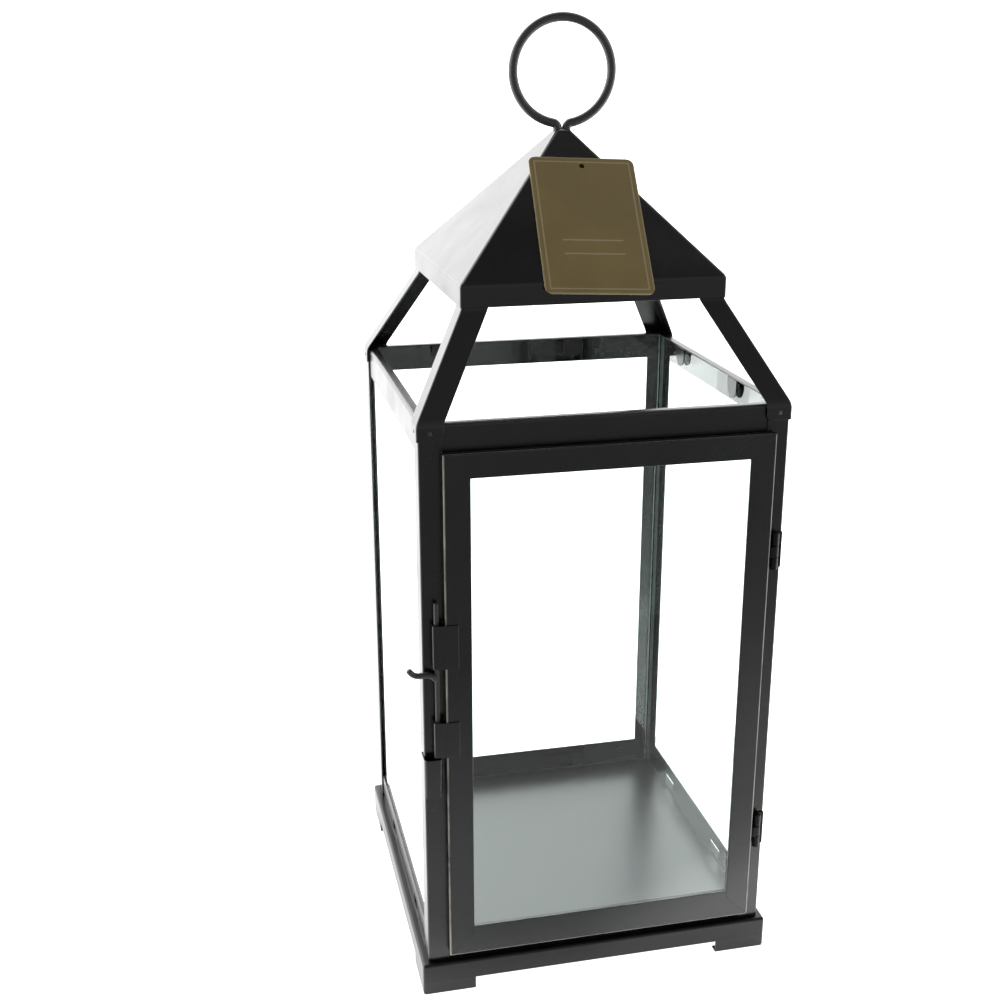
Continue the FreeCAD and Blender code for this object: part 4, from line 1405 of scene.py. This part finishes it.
def build_stage():
    settings = stage_settings()
    mesh = bmesh.new()
    bmesh.ops.create_circle(mesh, cap_ends=True, segments=96, radius=9.0)
    floor = to_object("pale_floor", mesh)
    floor.data.materials.append(floor_material(settings))
    world_light(settings)
    lens = bpy.data.cameras.new("lantern_camera")
    lens.sensor_fit = "HORIZONTAL"
    lens.sensor_width = 36.0
    lens.lens = settings.lens
    lens.clip_start = 0.01
    camera = bpy.data.objects.new("lantern_camera", lens)
    bpy.context.scene.collection.objects.link(camera)
    ahead = Vector((math.sin(settings.pan) * math.cos(settings.tilt),
                    math.cos(settings.pan) * math.cos(settings.tilt), -math.sin(settings.tilt)))
    right = Vector((math.cos(settings.pan), -math.sin(settings.pan), 0))
    top = right.cross(ahead)
    turned_right = right * math.cos(settings.roll) + top * math.sin(settings.roll)
    turned_top = turned_right.cross(ahead)
    frame_axes = Matrix((turned_right, turned_top, -ahead)).transposed()
    camera.matrix_world = Matrix.Translation(Vector(settings.place)) @ frame_axes.to_4x4()
    bpy.context.scene.camera = camera
    bpy.context.scene.view_settings.view_transform = "Standard"


# ---------------------------------------------------------------- operators

class LanternOperator:
    """What the lantern's operators share."""

    bl_options = {"REGISTER", "UNDO"}
    steps = ()

    def execute(self, context):
        for step in type(self).steps:
            step()
        return {"FINISHED"}


class LANTERN_OT_stage(LanternOperator, bpy.types.Operator):
    """Set the floor, the surround and the camera"""

    bl_idname = "lantern.stage"
    bl_label = "Stage"
    steps = (build_stage,)


class LANTERN_OT_base(LanternOperator, bpy.types.Operator):
    """Fold the base tray and its feet"""

    bl_idname = "lantern.base"
    bl_label = "Base tray"
    steps = (build_base,)


class LANTERN_OT_posts(LanternOperator, bpy.types.Operator):
    """Fold the corner posts, the struts and their rivets"""

    bl_idname = "lantern.posts"
    bl_label = "Posts and struts"
    steps = (build_posts, build_struts, build_rivets)


class LANTERN_OT_rails(LanternOperator, bpy.types.Operator):
    """Fold the top rails with their glass tongues, and the slotted bottom rails"""

    bl_idname = "lantern.rails"
    bl_label = "Rails"
    steps = (build_top_rails, build_tongues, build_bottom_rails)


class LANTERN_OT_roof(LanternOperator, bpy.types.Operator):
    """Fold the roof cap"""

    bl_idname = "lantern.roof"
    bl_label = "Roof"
    steps = (build_roof,)


class LANTERN_OT_ring(LanternOperator, bpy.types.Operator):
    """Bend the hanging ring"""

    bl_idname = "lantern.ring"
    bl_label = "Hanging ring"
    steps = (build_ring,)


class LANTERN_OT_glass(LanternOperator, bpy.types.Operator):
    """Cut the four panes"""

    bl_idname = "lantern.glass"
    bl_label = "Glass"
    steps = (build_glass,)


class LANTERN_OT_door(LanternOperator, bpy.types.Operator):
    """Fold the door's frame"""

    bl_idname = "lantern.door"
    bl_label = "Door frame"
    steps = (build_door_frame,)


class LANTERN_OT_hinges(LanternOperator, bpy.types.Operator):
    """Roll the hinge leaves and set their pins"""

    bl_idname = "lantern.hinges"
    bl_label = "Hinges"
    steps = (build_hinges,)


class LANTERN_OT_latch(LanternOperator, bpy.types.Operator):
    """Fold the straps and the keeper, and bend the drop bolt"""

    bl_idname = "lantern.latch"
    bl_label = "Latch"
    steps = (build_straps, build_keeper, build_bolt)


class LANTERN_OT_tag(LanternOperator, bpy.types.Operator):
    """Cut the blank card tag"""

    bl_idname = "lantern.tag"
    bl_label = "Card tag"
    steps = (build_tag,)


OPERATORS = (LANTERN_OT_stage, LANTERN_OT_base, LANTERN_OT_posts, LANTERN_OT_rails, LANTERN_OT_roof,
             LANTERN_OT_ring, LANTERN_OT_glass, LANTERN_OT_door, LANTERN_OT_hinges,
             LANTERN_OT_latch, LANTERN_OT_tag)
SETTINGS = (("lantern_sheet", LanternSheetSettings), ("lantern_finish", LanternFinishSettings),
            ("lantern_stage", LanternStageSettings))


class LANTERN_PT_panel(bpy.types.Panel):
    """The lantern's settings and steps"""

    bl_label = "Candle lantern"
    bl_idname = "LANTERN_PT_panel"
    bl_space_type = "VIEW_3D"
    bl_region_type = "UI"
    bl_category = "Lantern"

    def draw(self, context):
        for holder, group in SETTINGS:
            column = self.layout.column()
            for name in group.__annotations__:
                column.prop(getattr(context.scene, holder), name)
        for operator in OPERATORS:
            self.layout.operator(operator.bl_idname)


def register():
    for holder, group in SETTINGS:
        bpy.utils.register_class(group)
        setattr(bpy.types.Scene, holder, PointerProperty(type=group))
    for operator in OPERATORS:
        bpy.utils.register_class(operator)
    bpy.utils.register_class(LANTERN_PT_panel)


def unregister():
    bpy.utils.unregister_class(LANTERN_PT_panel)
    for operator in reversed(OPERATORS):
        bpy.utils.unregister_class(operator)
    for holder, group in reversed(SETTINGS):
        delattr(bpy.types.Scene, holder)
        bpy.utils.unregister_class(group)


def main():
    register()
    for operator in OPERATORS:
        group, step = operator.bl_idname.split(".")
        getattr(getattr(bpy.ops, group), step)()


if __name__ == "__main__":
    main()
